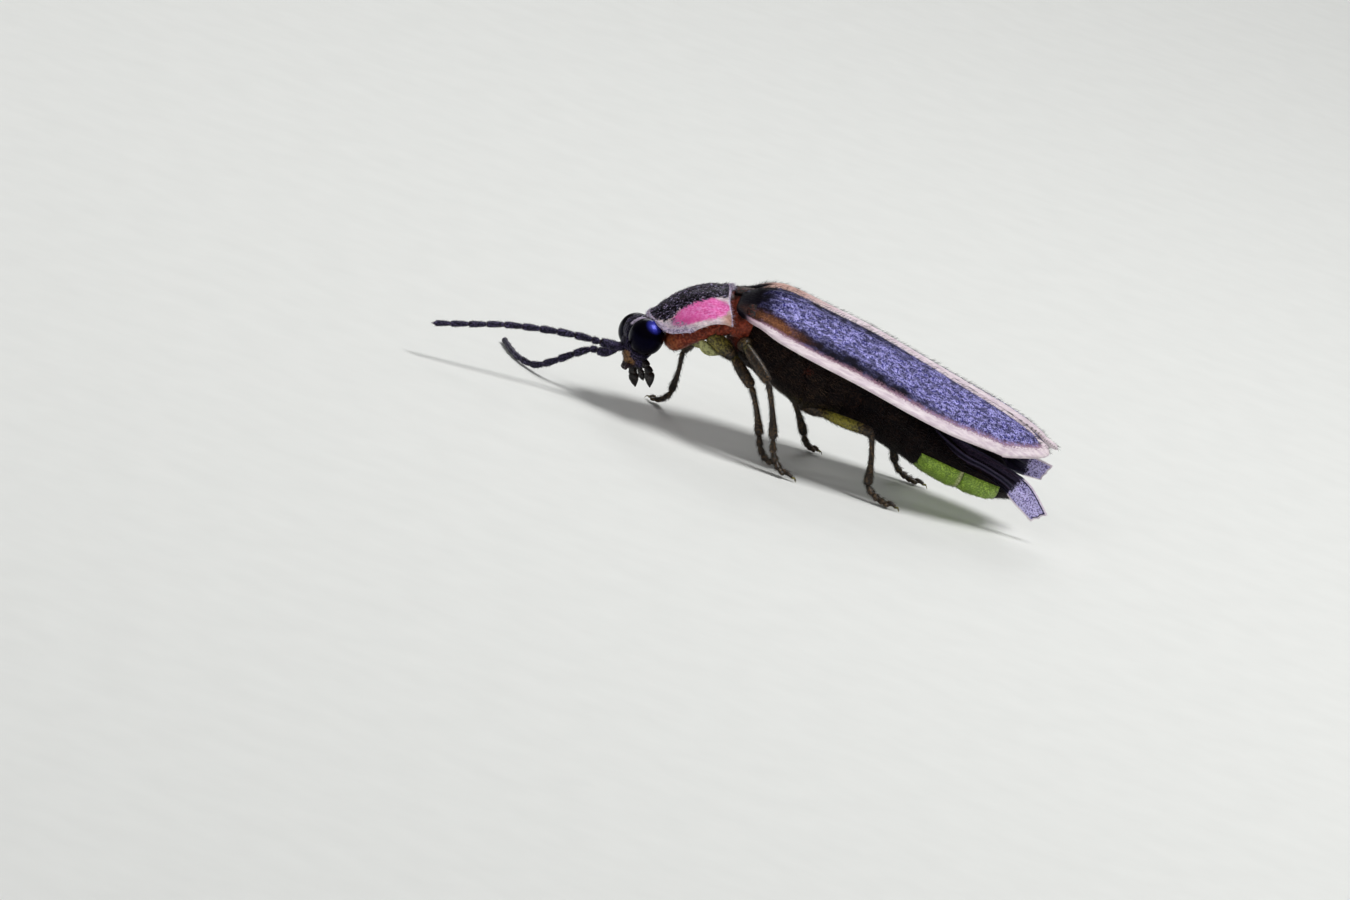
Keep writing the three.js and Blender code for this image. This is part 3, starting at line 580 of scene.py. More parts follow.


# Hard, waxy chitin: near black, with a painted violet sheen on its disc and painted violet glints on each
# crest of its fine wrinkles, and pale, translucent margins.
# The real wrinkles are about 0.02 mm apart, too fine to show, and are drawn 0.05 to 0.1 mm apart.
def cover_chitin(tree, shader, colours):
    wobble = grain(tree, 0.35, 4.0)
    crest = wrinkles(tree, 0.1, 0.06)
    fleck = mask(tree, {grain(tree, 0.05, 2.0): 1}, -0.04, 0.12)
    streak = mask(tree, {grain(tree, 0.11, 3.0, (0.5, 1.0, 1.0)): 1}, -0.1, 0.08, 0.25)
    # A band of painted violet sheen along the disc, broken into streaks; it also makes the surface shinier
    # there
    bloom = mask(tree, {"bloom": 1, wobble: 1}, 0.06, 1.0, times=[streak])
    peak = add(tree, "ShaderNodeMath", [crest, mask(tree, {fleck: 0.7})], operation="MAXIMUM")
    # Painted glints of light on the wrinkle crests and flecks within the sheen; the surface is also smoother
    # there
    painted_crest_glint = mask(tree, {peak: 1}, times=[bloom])
    margin = {"margin": 1, wobble: 0.22, fleck: 0.22}
    ivory = layered(tree, colours.cream,
                    (mask(tree, {grain(tree, 0.1, 3.0, (0.25, 1.0, 1.0)): 1}, -0.2, 0.2),
                     colours.cream_shade),
                    (mask(tree, {"tan": 0.7}), colours.tan), (mask(tree, {"dim": 0.7}), colours.cover_blush))
    colour = layered(tree, colours.cover_dark,
                     (bloom, colours.cover_navy), (painted_crest_glint, colours.cover_violet),
                     (mask(tree, {fleck: 1}, 0, 1, 0.45, times=["stain"]), colours.cover_brown),
                     (mask(tree, margin, 1.61, 1.16, times=["side", "pale"]), colours.cover_blush),
                     (mask(tree, margin, 1.21, 0.97, times=["pale"]), ivory),
                     # A painted shadow darkens the covers' edge along the seam between them
                     (mask(tree, {"seam": 1}, 0.08, 0.03, 0, 0.7), colours.cover_dark))
    feed(tree, shader, {
        "Base Color": colour, "IOR": 1.5, "Specular Tint": linear("#b9bcff"),
        "Roughness": mask(tree, {painted_crest_glint: 1}, 0, 1, 0.5, 0.3),
        "Specular IOR Level": mask(tree, {bloom: 1}, 0, 0.3, 0.06, 0.3),
        "Normal": relief(tree, (crest, 0.004), (grain(tree, 0.07), 0.012))})


# Thin chitin over soft tissue: matt and finely pitted, so that light glows pink and cream through its edges.
# Its pits are about 0.02 mm wide and are drawn 0.06 mm wide, to show; the lilac specks on its dark cap are
# painted glints.
def shield_chitin(tree, shader, colours):
    speck = grain(tree, 0.06, 3.0, (0.6, 1.0, 1.0))
    strokes = wrinkles(tree, 0.12, 0.07, (0.55, 1.0, 1.0))
    wobble = grain(tree, 0.25, 4.0)
    # Lilac specks on the dark cap: painted glints of light on its hairs
    spark = mask(tree, {grain(tree, 0.06, 2.0, (0.5, 1.0, 1.0)): 1}, 0.09, 0.18)
    pink = layered(tree, colours.pink_deep,
                   (mask(tree, {speck: 1}, -0.15, 0.2, times=["glow"]), colours.pink))
    shine = add(tree, "ShaderNodeMath", [spark, mask(tree, {strokes: 0.15})], operation="MAXIMUM")
    ink = layered(tree, colours.black, (shine, colours.spark))
    hem = layered(tree, colours.lip, (mask(tree, {strokes: 0.85}), colours.black_shine))
    colour = layered(tree, colours.cream_shade,
                     (mask(tree, {speck: 1}, -0.1, 0.12), colours.cream),
                     (mask(tree, {"tan": 0.8}), colours.tan),
                     (mask(tree, {"pink": 1, speck: 1.05, wobble: 1}, 0.15, 0.85), pink),
                     (mask(tree, {"dark": 1, speck: 1.5, wobble: 0.6}, 0.3, 0.6), ink),
                     (mask(tree, {"lip": 1, speck: 0.75}, 0.3, 0.75, 0, 0.95), hem))
    feed(tree, shader, {
        "Base Color": colour, "IOR": 1.5, "Roughness": 0.5, "Specular IOR Level": 0.08,
        "Subsurface Weight": 0.2, "Subsurface Radius": (1.0, 0.35, 0.3), "Subsurface Scale": 0.1 * MM,
        "Normal": relief(tree, (strokes, 0.005), (grain(tree, 0.06), 0.012))})


# Chitin in two shades broken by its own grain, with further colours where the piece says so.
def plain_chitin(tree, shader, colours, dark, light, size, rough, depth, marks=(), **sockets):
    def shade(title):
        return getattr(colours, title)

    speck = grain(tree, size, 4.0)
    cloud = mask(tree, {grain(tree, size * 6, 3.0): 1}, -0.2, 0.2, 0.3)
    broken = mask(tree, {speck: 1}, -0.14, 0.04, 0.45)
    colour = layered(tree, shade(dark), (mask(tree, {speck: 1}, -0.08, 0.16, times=[cloud]), shade(light)))
    for title, third in marks:
        worn = mask(tree, {title: 1, speck: 0.8}, 0.25, 0.8)
        colour = layered(tree, colour, (worn, layered(tree, shade(dark), (broken, shade(third)))))
    feed(tree, shader, {
        "Base Color": colour, "IOR": 1.5, **sockets,
        "Roughness": mask(tree, {speck: 1}, -0.2, 0.2, rough + 0.12, rough - 0.06),
        "Normal": relief(tree, (speck, depth), (grain(tree, size * 0.35, 2.0), depth * 0.35))})


# Folded film some hundredths of a millimetre thick: smoky, with dark veins and a pale edge, a painted violet
# sheen on its tip and painted highlights along its pleats.
def wing_membrane(tree, shader, colours):
    speck = grain(tree, 0.05, 2.0)
    # The painted violet sheen of the tip
    lilac = layered(tree, colours.membrane_grain,
                    (mask(tree, {speck: 1}, -0.14, 0.06), colours.membrane_violet))
    colour = layered(tree, colours.membrane_dark,
                     # Painted highlights along the pleat ridges
                     (mask(tree, {speck: 1}, -0.2, 0.2, times=["fold"]), colours.membrane_fold),
                     (mask(tree, {"tip": 1, speck: 0.9}, 0.3, 0.7), lilac),
                     (mask(tree, {"vein": 1}, 0.3, 0.8), colours.membrane_dark),
                     (mask(tree, {"edge": 1}, 0.35, 0.8), colours.membrane_edge))
    feed(tree, shader, {"Base Color": colour, "IOR": 1.5, "Roughness": 0.4,
                        "Specular Tint": linear("#c9c4ff"), "Normal": relief(tree, (speck, 0.012))})


# Lens cuticle of a compound eye: smooth as glass on each facet and black beneath. It shines in one patch on
# its upper outer side, and a blue painted highlight is laid into its colour there.
def eye_cornea(tree, shader, colours):
    cloud = grain(tree, 0.5, 2.0)
    colour = layered(tree, colours.eye, (mask(tree, {cloud: 1}, -0.15, 0.15), colours.black),
                     (mask(tree, {"gloss_and_painted_highlight": 0.6}), colours.eye_sheen))
    feed(tree, shader, {"Base Color": colour, "IOR": 1.55, "Specular Tint": linear("#7078ff"),
                        "Specular IOR Level": mask(tree, {"gloss_and_painted_highlight": 1}, 0, 0.8, 0.06, 0.6),
                        "Roughness": mask(tree, {cloud: 1}, -0.2, 0.2, 0.18, 0.26)})


# Matt studio paper: even and pale, with a faint fibre.
def floor_paper(tree, shader, colours):
    fibre = add(tree, "ShaderNodeMath", [grain(tree, 1.5, 4.0), 0.5], operation="ADD")
    feed(tree, shader, {"Base Color": layered(tree, colours.floor, (fibre, colours.floor_shade)),
                        "Roughness": 0.9, "Specular IOR Level": 0.2})


FINISHES = {
    "Wing cover chitin": cover_chitin,
    "Shield chitin": shield_chitin,
    "Wing membrane": wing_membrane,
    "Eye cornea": eye_cornea,
    "Studio paper": floor_paper,
    # Hard shell of the head and feelers: black, with close lilac specks of painted glint that break up its
    # shine
    "Black chitin": partial(
        plain_chitin, dark="black", light="black_shine", size=0.05, rough=0.42, depth=0.02,
        # The lip mark on the head is a painted highlight along each brow
        marks=[("amber", "brown"), ("pale", "golden"), ("lip", "lip")],
        **{"Specular IOR Level": 0.3, "Specular Tint": linear("#c6c4ff")}),
    # Soft skin of the neck: red brown and leathery, and light passes a little way into it
    "Red chitin": partial(
        plain_chitin, dark="red_deep", light="red", size=0.08, rough=0.5, depth=0.014,
        marks=[("amber", "orange"), ("pale", "cream_shade"), ("dark", "black")],
        **{"Specular IOR Level": 0.2, "Subsurface Weight": 0.25, "Subsurface Radius": (1.0, 0.35, 0.2),
           "Subsurface Scale": 0.12 * MM}),
    # Plates of the thorax and abdomen: dark and dull, with olive and red where they are thin
    "Brown chitin": partial(
        plain_chitin, dark="black", light="brown", size=0.06, rough=0.55, depth=0.02,
        marks=[("olive", "olive"), ("red", "red_deep")], **{"Specular IOR Level": 0.08}),
    # Palps: smooth and dark, so they catch small bright lights
    "Mouth chitin": partial(
        plain_chitin, dark="black", light="brown", size=0.06, rough=0.28, depth=0.008,
        marks=[("amber", "amber")]),
    # Legs: half-glossy brown, paler at the thighs
    "Leg chitin": partial(
        plain_chitin, dark="leg_dark", light="leg", size=0.06, rough=0.4, depth=0.012,
        marks=[("amber", "amber"), ("pale", "leg_pale")]),
    # Clear cuticle over the white tissue of the light organs: waxy, yellow green and softly lit from within
    "Lantern cuticle": partial(
        plain_chitin, dark="lantern_deep", light="lantern", size=0.05, rough=0.45, depth=0.018,
        marks=[("pale", "lantern_edge")],
        **{"Subsurface Weight": 0.15, "Subsurface Radius": (0.8, 1.0, 0.3), "Subsurface Scale": 0.12 * MM}),
    # Hairs: solid chitin bristles, dark or golden, with a soft shine
    "Dark bristle": partial(plain_chitin, dark="black", light="bristle_dark", size=0.2, rough=0.45,
                            depth=0.001),
    "Golden bristle": partial(plain_chitin, dark="brown", light="bristle", size=0.2, rough=0.45, depth=0.001),
}


def paint(title):
    """The finish of that name, made at its first use."""
    material = bpy.data.materials.get(title)
    if material is None:
        material = bpy.data.materials.new(title)
        material.use_nodes = True
        tree = material.node_tree
        FINISHES[title](tree, tree.nodes["Principled BSDF"], bpy.context.scene.firefly_colours)
    return material


def node_tree(name, inputs):
    """A geometry node tree with named inputs, and its group input node."""
    tree = bpy.data.node_groups.new(name, "GeometryNodeTree")
    tree.interface.new_socket("Geometry", in_out="INPUT", socket_type="NodeSocketGeometry")
    tree.interface.new_socket("Geometry", in_out="OUTPUT", socket_type="NodeSocketGeometry")
    for title, kind in inputs.items():
        tree.interface.new_socket(title, in_out="INPUT", socket_type="NodeSocket" + kind)
    return tree, add(tree, "NodeGroupInput").outputs


def end_tree(tree, given, shape):
    """Smooths what a tree makes, makes its instances real and gives it its finish."""
    smooth = add(tree, "GeometryNodeSetShadeSmooth", {"Geometry": shape})
    real = add(tree, "GeometryNodeRealizeInstances", {"Geometry": smooth})
    painted = add(tree, "GeometryNodeSetMaterial", {"Geometry": real, "Material": given["Material"]})
    add(tree, "NodeGroupOutput", {"Geometry": painted})
    return tree


def grown(source, tree, name, **inputs):
    """The result of a node tree on an object, as a plain mesh object of its own."""
    modifier = source.modifiers.new(tree.name, "NODES")
    modifier.node_group = tree
    sockets = {item.name: item.identifier for item in tree.interface.items_tree if item.in_out == "INPUT"}
    for title, value in inputs.items():
        modifier[sockets[title.replace("_", " ").capitalize()]] = value
    source.update_tag()
    mesh = evaluated_mesh(source)
    mesh.name = name
    source.modifiers.remove(modifier)
    return new_object(name, mesh)


def bristle_tree():
    """Hairs over a skin, each leaning along its lie, with a patch of their own in the OFBake map."""
    tree, given = node_tree("Bristles", {
        "Where": "String", "Density": "Float", "Length": "Float", "Width": "Float", "Lean": "Float",
        "Seed": "Int", "Material": "Material"})
    vector = {"data_type": "FLOAT_VECTOR"}
    place = add(tree, "ShaderNodeSeparateXYZ", [add(tree, "GeometryNodeInputPosition")]).outputs["Z"]
    fuzz = add(tree, "GeometryNodeInputNamedAttribute", {"Name": given["Where"]})
    clear = mask(tree, {place: 1}, *SOLE_CLEAR, times=[fuzz])
    density = add(tree, "ShaderNodeMath", [given["Density"], clear], operation="MULTIPLY")
    scatter = add(tree, "GeometryNodeDistributePointsOnFaces", {
        "Mesh": given["Geometry"], "Density": density, "Seed": given["Seed"]})
    unwrap = add(tree, "GeometryNodeInputNamedAttribute", {"Name": "unwrap"}, **vector)
    rooted = add(tree, "GeometryNodeStoreNamedAttribute", {
        "Geometry": scatter, "Name": "root", "Value": unwrap}, **vector)
    lie = add(tree, "GeometryNodeInputNamedAttribute", {"Name": "lie"}, **vector)
    upright = add(tree, "FunctionNodeAxesToRotation", {
        "Primary Axis": scatter.outputs["Normal"], "Secondary Axis": lie},
                  primary_axis="Z", secondary_axis="X")
    spin = add(tree, "FunctionNodeRandomValue", {
        "Min": HAIR_TURN[0], "Max": HAIR_TURN[1], "Seed": given["Seed"]}, **vector)
    lean = add(tree, "ShaderNodeCombineXYZ", {"Y": given["Lean"]})
    angles = add(tree, "ShaderNodeVectorMath", [lean, spin], operation="ADD")
    turned = add(tree, "FunctionNodeRotateRotation", {
        "Rotation": upright, "Rotate By": add(tree, "FunctionNodeEulerToRotation", {"Euler": angles})},
        rotation_space="LOCAL")
    growth = add(tree, "GeometryNodeInputNamedAttribute", {"Name": "growth"})
    size = add(tree, "FunctionNodeRandomValue", {
        "Min": HAIR_SIZES[0], "Max": HAIR_SIZES[1], "Seed": given["Seed"]})
    scale = add(tree, "ShaderNodeMath", [size, growth], operation="MULTIPLY")
    # A hair is a three-sided cone that bows toward its tip
    hair = add(tree, "GeometryNodeMeshCone", {
        "Vertices": 3, "Side Segments": 3, "Radius Top": 0.0, "Radius Bottom": given["Width"],
        "Depth": given["Length"]})
    share = add(tree, "ShaderNodeMath", [place, given["Length"]], operation="DIVIDE")
    curve = add(tree, "ShaderNodeMath", [share, 2.0], operation="POWER")
    reach = add(tree, "ShaderNodeMath", [curve, given["Length"]], operation="MULTIPLY")
    bow = add(tree, "ShaderNodeMath", [reach, HAIR_BOW], operation="MULTIPLY")
    bent = add(tree, "GeometryNodeSetPosition", {
        "Geometry": hair, "Offset": add(tree, "ShaderNodeCombineXYZ", {"X": bow})})
    planted = add(tree, "GeometryNodeInstanceOnPoints", {
        "Points": rooted, "Instance": bent, "Rotation": turned, "Scale": scale})
    real = add(tree, "GeometryNodeRealizeInstances", {"Geometry": planted})
    root = add(tree, "GeometryNodeInputNamedAttribute", {"Name": "root"}, **vector)
    patch = add(tree, "ShaderNodeVectorMath", {0: hair.outputs["UV Map"], "Scale": HAIR_PATCH},
                operation="SCALE")
    baked = add(tree, "ShaderNodeVectorMath", [root, patch], operation="ADD")
    mapped = add(tree, "GeometryNodeStoreNamedAttribute", {
        "Geometry": real, "Name": "OFBake", "Value": baked}, data_type="FLOAT2", domain="CORNER")
    return end_tree(tree, given, mapped)


def coat(skin, name, slot, bristle, seed, density=1.0, length=None, width=1.0, lean=50, where="fuzz"):
    """Hairs grown from a skin where one of its values says so, settled as a piece of their own."""
    hair = bpy.context.scene.firefly_coat
    tree = bpy.data.node_groups.get("Bristles") or bristle_tree()
    hairs = grown(skin, tree, name, where=where, density=hair.density * density,
                  length=length or hair.hair_length / MM, width=hair.hair_width / MM * width,
                  lean=math.radians(lean), seed=hair.seed + seed, material=paint(bristle))
    settle(hairs, slot)


cover_top = along(COVER_X, COVER_TOP)
cover_drop = along(COVER_X, COVER_DROP)
cover_half = along(np.linspace(0, 1, len(COVER_HALF_WIDTH)), COVER_HALF_WIDTH)


def make_cover(word, sizes):
    """A wing cover: u runs from its base to its tip, v from the middle line to its outer edge."""
    side = SIDES[word]

    def surface(u, v):
        deep, wide = COVER_NOTCH
        base = (COVER_BASE_SHOULDER + COVER_BASE_SLOPE * (1 - np.abs(v)) + deep * bump(np.abs(v), 0, wide)
                + COVER_SHOULDER_ROUND * np.clip(v, 0, 1) ** 8)
        tip = (COVER_TIP[side] - COVER_TIP_ROUNDING * np.abs(v) ** 2.6
               - COVER_TIP_CORNER * (1 - np.clip(v, 0, 1)) ** 7)
        x = base + (tip - base) * u
        y = SUTURE + (cover_half(np.clip(u, 0, 1)) - SUTURE) * v
        arch = 0.55 * v * v + 0.225 * (1 - np.cos(math.pi * v))
        lift = COVER_LIFT[side] * u * u * (1 - 0.6 * bump(v, 0, 0.1) * step(1.0, 0.85, u))
        return np.stack([x, side * y, cover_top(x) - cover_drop(x) * arch + lift], axis=-1)

    t = np.linspace(0, 1, 160)
    outer_edge = np.concatenate([surface(t, np.ones_like(t)), surface(np.ones_like(t), t)])
    inner_edge = surface(t, np.zeros_like(t))

    # Heights in mm: a low ridge, three ribs, a bead along the middle, a gutter, a line and a lip at the outer
    # edge
    def height(u, v, top):
        rim = nearest(top, outer_edge)
        crest = 0.015 * bump(v, 0.3, 0.12) * step(0.0, 0.08, u) * step(1.0, 0.9, u)
        ribs = (sum(bump(v, middle + 0.03 * np.sin(3 * u), 0.022) for middle in RIB_PLACES)
                * step(0.02, 0.12, u) * step(0.98, 0.75, u))
        bead = 0.02 * bump(nearest(top, inner_edge), 0.12, 0.05) * step(0.0, 0.08, u)
        groove = -0.04 * bump(rim, 0.46, 0.14) * step(0.05, 0.2, u)
        line = -0.012 * bump(rim, 0.2, 0.02) * step(0.05, 0.2, u)
        lip = 0.02 * step(0.2, 0.04, rim)
        return sizes.rib_height / MM * ribs + crest + bead + groove + line + lip - 0.04 * step(0.06, 0.0, u)

    rings, u, v = plate_rings(surface, sizes.cover_thickness / MM, edge_steps(190), edge_steps(64), height)
    top = surface(u, v)
    rim = nearest(top, outer_edge)
    seam = nearest(top, inner_edge)
    band = along(*OUTER_MARGIN)(u)
    inner_band = along(*INNER_MARGIN)(u)
    outer_share = np.maximum(rim / band, 0.01)
    seam_share = np.maximum(seam / inner_band, 0.01)
    # The two margins run together round the tip, and a brown stain and a band of painted violet sheen lie on
    # the disc
    merged = (outer_share**-2.5 + seam_share**-2.5) ** -0.4
    stain = 1.4 * bump(u, 0.13, 0.075) * bump(rim, 0.26 + band, 0.18)
    bloom = (0.3 + 0.7 * bump(v, 0.52, 0.2)) * step(0.03, 0.15, u) + 0.55 * step(0.3, 0.75, u)
    # A band toward the outer side, over the front of the cover, gets less of the painted sheen
    bloom = bloom * (1 - 0.75 * bump(v, 0.77, 0.1) * step(0.85, 0.5, u))
    skin = Skin()
    skin.rings(rings, plate=True, lie=(1, 0, -0.25), growth=1.0,
               fuzz=on_top(0.6 + 0.6 * step(0.12, 0.0, seam)),
               fringe=on_top(bump(v, 0.15, 0.06)), margin=merged, seam=seam / inner_band, stain=stain,
               bloom=bloom, side=step(1.1, 0.7, outer_share / seam_share), pale=step(0.02, 0.06, u),
               tan=step(0.3, 0.1, u) * step(0.7, 1.1, outer_share / seam_share),
               dim=step(0.13, 0.03, u) * step(0.3, 0.6, v))
    return skin.object("wing_cover_" + word, "Wing cover chitin")


shield_top = along(SHIELD_X, SHIELD_TOP)
shield_drop = along(SHIELD_X, SHIELD_DROP)
shield_rear = along(*SHIELD_REAR)


def shield_surface(u, v):
    """The shield's top: u runs from front to rear, v from its left edge to its right one."""
    across = 2 * v - 1
    front = SHIELD_FRONT + SHIELD_FRONT_SWEEP * np.abs(across) ** 1.8
    x = front + (shield_rear(np.abs(across)) - front) * u
    return np.stack([x, across * SHIELD_HALF_WIDTH, shield_top(x) - shield_drop(x) * across * across],
                    axis=-1)


def make_shield(sizes):
    """The shield with its dark cap, pink patches and pale hem."""
    t = np.linspace(0, 1, 120)
    side_edges = np.concatenate([shield_surface(t, np.zeros_like(t)), shield_surface(t, np.ones_like(t))])
    front_edge = shield_surface(np.zeros_like(t), t)
    rear_edge = shield_surface(np.ones_like(t), t)
    outline = np.concatenate([side_edges, front_edge, rear_edge])

    # Heights in mm: a raised lip, a gutter inside it, two swellings, a middle furrow and shallow dents
    def height(u, v, top):
        across = np.abs(2 * v - 1)
        rim = nearest(top, outline)
        swelling = 0.05 * bump(across, 0.3, 0.2) * step(0.1, 0.4, u) * step(1.0, 0.75, u)
        furrow = -0.04 * bump(across, 0.0, 0.05) * step(0.1, 0.5, u)
        dents = 0.012 * np.sin(23 * u + 5 * across) * np.sin(31 * across)
        return 0.02 * bump(rim, 0.05, 0.06) - 0.035 * bump(rim, 0.3, 0.16) + swelling + furrow + dents

    rings, u, v = plate_rings(shield_surface, sizes.shield_thickness / MM, edge_steps(100), edge_steps(140),
                              height)
    top = shield_surface(u, v)
    across = np.abs(2 * v - 1)
    fore, back, rim = (nearest(top, edge) for edge in (front_edge, rear_edge, outline))
    cap = along(*CAP_EDGE)(u)
    corner = step(0.3, 0.12, u) * step(cap, cap + 0.1, across)
    dark = step(cap + 0.13, cap - 0.12, across) + 0.3 * corner
    dark += 0.3 * step(0.85, 0.95, u) * step(0.7, 0.5, across)
    inner, outer = along(*PINK_INNER)(u), along(*PINK_OUTER)(u)
    pink = (step(inner - 0.1, inner + 0.08, across) * step(outer + 0.09, outer - 0.07, across)
            * step(0.02, 0.18, u) * step(1.05, 0.9, u))
    lip = np.maximum(step(0.15, 0.06, fore),
                     step(0.09 + 0.07 * step(0.3, 0.1, across), 0.03, back)) + 0.5 * corner
    tuft = step(0.1, 0.02, back) * step(0.3, 0.1, across)
    skin = Skin()
    skin.rings(rings, plate=True, lie=(1, 0, 0.3), fuzz=on_top(1 + 3 * tuft),
               growth=1 + 0.4 * step(0.25, 0.0, rim) + tuft, dark=dark, pink=pink, lip=np.clip(lip, 0, 1),
               tan=step(0.6, 0.9, u) * step(0.74, 0.9, across),
               glow=step(0.1, 0.5, u + 0.8 * (0.75 - across)))
    return skin.object("shield", "Shield chitin")


def rough_head():
    """The balls and jaws that fuse into the head, as one object."""
    skin = Skin()
    tilt = np.linspace(0, math.pi, 16)[1:-1]
    turn = full_turn(20)
    ball = np.stack([np.outer(np.sin(tilt), np.cos(turn)), np.outer(np.sin(tilt), np.sin(turn)),
                     np.outer(np.cos(tilt), np.ones(20))], axis=-1)
    pairs = [((x, side * y, z), radii) for side in (-1, 1) for (x, y, z), radii in HEAD_PAIRS]
    for centre, radii in HEAD_BALLS + pairs:
        skin.rings(on_head(np.array(centre) + ball * np.array(radii)))
    taper = along([0, 0.5, 1], [0.09, 0.07, 0.02])(np.linspace(0, 1, 12))
    for side in (-1, 1):
        jaw = on_head(smooth_path([(x, side * y, z) for x, y, z in JAW], 12))
        limb(skin, jaw, taper, taper * 0.8, side=(1, 0, 0))
    return skin.object("head_rough", "Black chitin")


def make_head():
    """The head and muzzle, fused from balls, then creased, pitted and marked."""
    rough = rough_head()
    fuse = rough.modifiers.new("Fuse", "REMESH")
    fuse.mode = "VOXEL"
    fuse.voxel_size = HEAD_CELL
    rough.modifiers.new("Soften", "SMOOTH").iterations = 5
    mesh = evaluated_mesh(rough)
    bpy.data.objects.remove(rough)
    mesh.name = "head"
    own = (read(mesh.vertices, "co", 3) - np.array(HEAD_POSE.translation)) @ np.array(HEAD_POSE.to_3x3())
    x, y, z = own.T
    reach = np.hypot(np.hypot(x, np.abs(y) - EYE_OUT), z)
    # Heights in mm: a crease between the eyes, a brow and a groove round each eye, a lip line and pits
    crease = -0.03 * bump(y, 0, 0.05) * step(-0.3, 0.1, z) * step(0.35, 0.0, x)
    brow = 0.04 * bump(reach, EYE_RADIUS * 1.16, 0.035) - 0.04 * bump(reach, EYE_RADIUS * 1.05, 0.03)
    line = -0.025 * bump(z, -0.8, 0.025) * step(-0.1, -0.2, x)
    pits = -0.012 * np.sin(38 * x) * np.sin(36 * y) * np.sin(34 * z)
    outward = unit(own - np.array([0.05, 0, -0.2]))
    placed = on_head(own + outward * (crease + brow + line + pits)[:, None])
    mesh.vertices.foreach_set("co", placed.astype(np.float32).ravel())
    spread = np.stack([np.arctan2(y, -x) / (2 * math.pi) + 0.5, np.clip((z + 1.3) / 2, 0, 1)], axis=1)
    muzzle = step(0.2, -0.1, x)
    keep(mesh, spread[read(mesh.loops, "vertex_index", 1, np.int32)], {
        "amber": step(-0.75, -0.95, z) * muzzle * 0.8,
        "pale": 0.65 * step(-0.48, -0.64, z) * step(-1.05, -0.9, z) * muzzle * step(0.4, 0.26, np.abs(y)),
        # A pale ring along the upper front of each brow: painted highlight
        "lip": bump(reach, EYE_RADIUS * 1.14, 0.04) * step(0.1, -0.1, x) * step(0.1, 0.3, z),
        "fuzz": step(0.35, 0.1, x) * step(-1.15, -1.0, z),
        "growth": np.ones(len(x)),
        "lie": np.tile([-0.3, 0.0, -1.0], (len(x), 1)),
    })
    mesh.shade_smooth()
    mesh.materials.clear()
    mesh.materials.append(paint("Black chitin"))
    return new_object("head_capsule", mesh)


def facet_tree():
    """A globe of six-sided facets, each raised a little from its neighbours."""
    tree, given = node_tree("Facets", {
        "Radius": "Float", "Tall": "Float", "Facet rise": "Float", "Facet share": "Float", "Sheen": "Vector",
        "Material": "Material"})
    globe = add(tree, "GeometryNodeMeshIcoSphere", {"Radius": given["Radius"], "Subdivisions": 5})
    stretch = add(tree, "ShaderNodeCombineXYZ", {"X": 1.0, "Y": 1.0, "Z": given["Tall"]})
    oval = add(tree, "GeometryNodeTransform", {"Geometry": globe, "Scale": stretch})
    # Facets facing this way get the blue painted highlight and more shine
    toward = add(tree, "ShaderNodeVectorMath", [add(tree, "GeometryNodeInputPosition"), given["Sheen"]],
                 operation="DOT_PRODUCT")
    share = add(tree, "ShaderNodeMath", [toward, given["Radius"]], operation="DIVIDE")
    highlighted = add(tree, "GeometryNodeStoreNamedAttribute", {
        "Geometry": oval, "Name": "gloss_and_painted_highlight", "Value": mask(tree, {share: 1}, 0.86, 1.0)})
    cells = add(tree, "GeometryNodeDualMesh", {"Mesh": highlighted})
    raised = add(tree, "GeometryNodeExtrudeMesh", {
        "Mesh": cells, "Offset Scale": given["Facet rise"], "Individual": True})
    domed = add(tree, "GeometryNodeScaleElements", {
        "Geometry": raised, "Selection": raised.outputs["Top"], "Scale": given["Facet share"]})
    return end_tree(tree, given, domed)


def make_eye(word, sizes):
    """A compound eye: facets over a globe that is a little taller than wide."""
    side = SIDES[word]
    carrier = new_object("carrier", bpy.data.meshes.new("carrier"))
    tree = bpy.data.node_groups.get("Facets") or facet_tree()
    eye = grown(carrier, tree, "eye_globe_" + word, radius=EYE_RADIUS, tall=EYE_TALL,
                facet_rise=sizes.facet_rise / MM, facet_share=sizes.facet_share,
                sheen=(EYE_HIGHLIGHT_DIRECTION[0], side * EYE_HIGHLIGHT_DIRECTION[1], EYE_HIGHLIGHT_DIRECTION[2]), material=paint("Eye cornea"))
    bpy.data.objects.remove(carrier)
    eye.data.transform(HEAD_POSE @ Matrix.Translation((0, side * EYE_OUT, 0)))
    return eye


def make_palps(word):
    """One side's palps: the large one with its dagger-shaped end, and the small one beside it."""
    skin = Skin()
    small = [(x, SIDES[word] * out, z) for x, out, z in SMALL_PALP]
    count = 18
    t = np.linspace(0, 1, count)
    joint = along([0, 0.4, 0.85, 1], [0.08, 0.12, 0.13, 0.1])(t) * round_ends(count, 0.2, 0.15)
    dagger = along([0, 0.12, 0.35, 0.7, 1], [0.07, 0.13, 0.155, 0.1, 0.012])(t) * round_ends(count, 0.12, 0.0)
    for size, joints in ((1.0, LARGE_PALP[word]), (SMALL_PALP_SIZE, small)):
        joints = on_head(joints)
        for k in range(3):
            last = k == 2
            lap = 0.12 * (joints[k + 1] - joints[k])
            path = smooth_path([joints[k] - lap, joints[k + 1] + (0 if last else lap)], count)
            wide = (dagger if last else joint) * size
            amber = 0.6 * step(0.16, 0.0, t) if last else 0.75 * step(0.25, 0.0, t)
            limb(skin, path, wide, wide * 0.75, side=(0, 1, 0), amber=amber[:, None], fuzz=1.0, growth=0.7)
    return skin.object("palps_" + word, "Mouth chitin")


def fit_curve(mapping, points):
    """Takes a curve mapping through these points."""
    curve = mapping.curves[0]
    while len(curve.points) < len(points):
        curve.points.new(0.5, 0.5)
    mapping.clip_max_y = 2.0
    for place, (x, y) in zip(curve.points, points):
        place.location = (x, y)
        place.handle_type = "AUTO_CLAMPED"
    mapping.update()


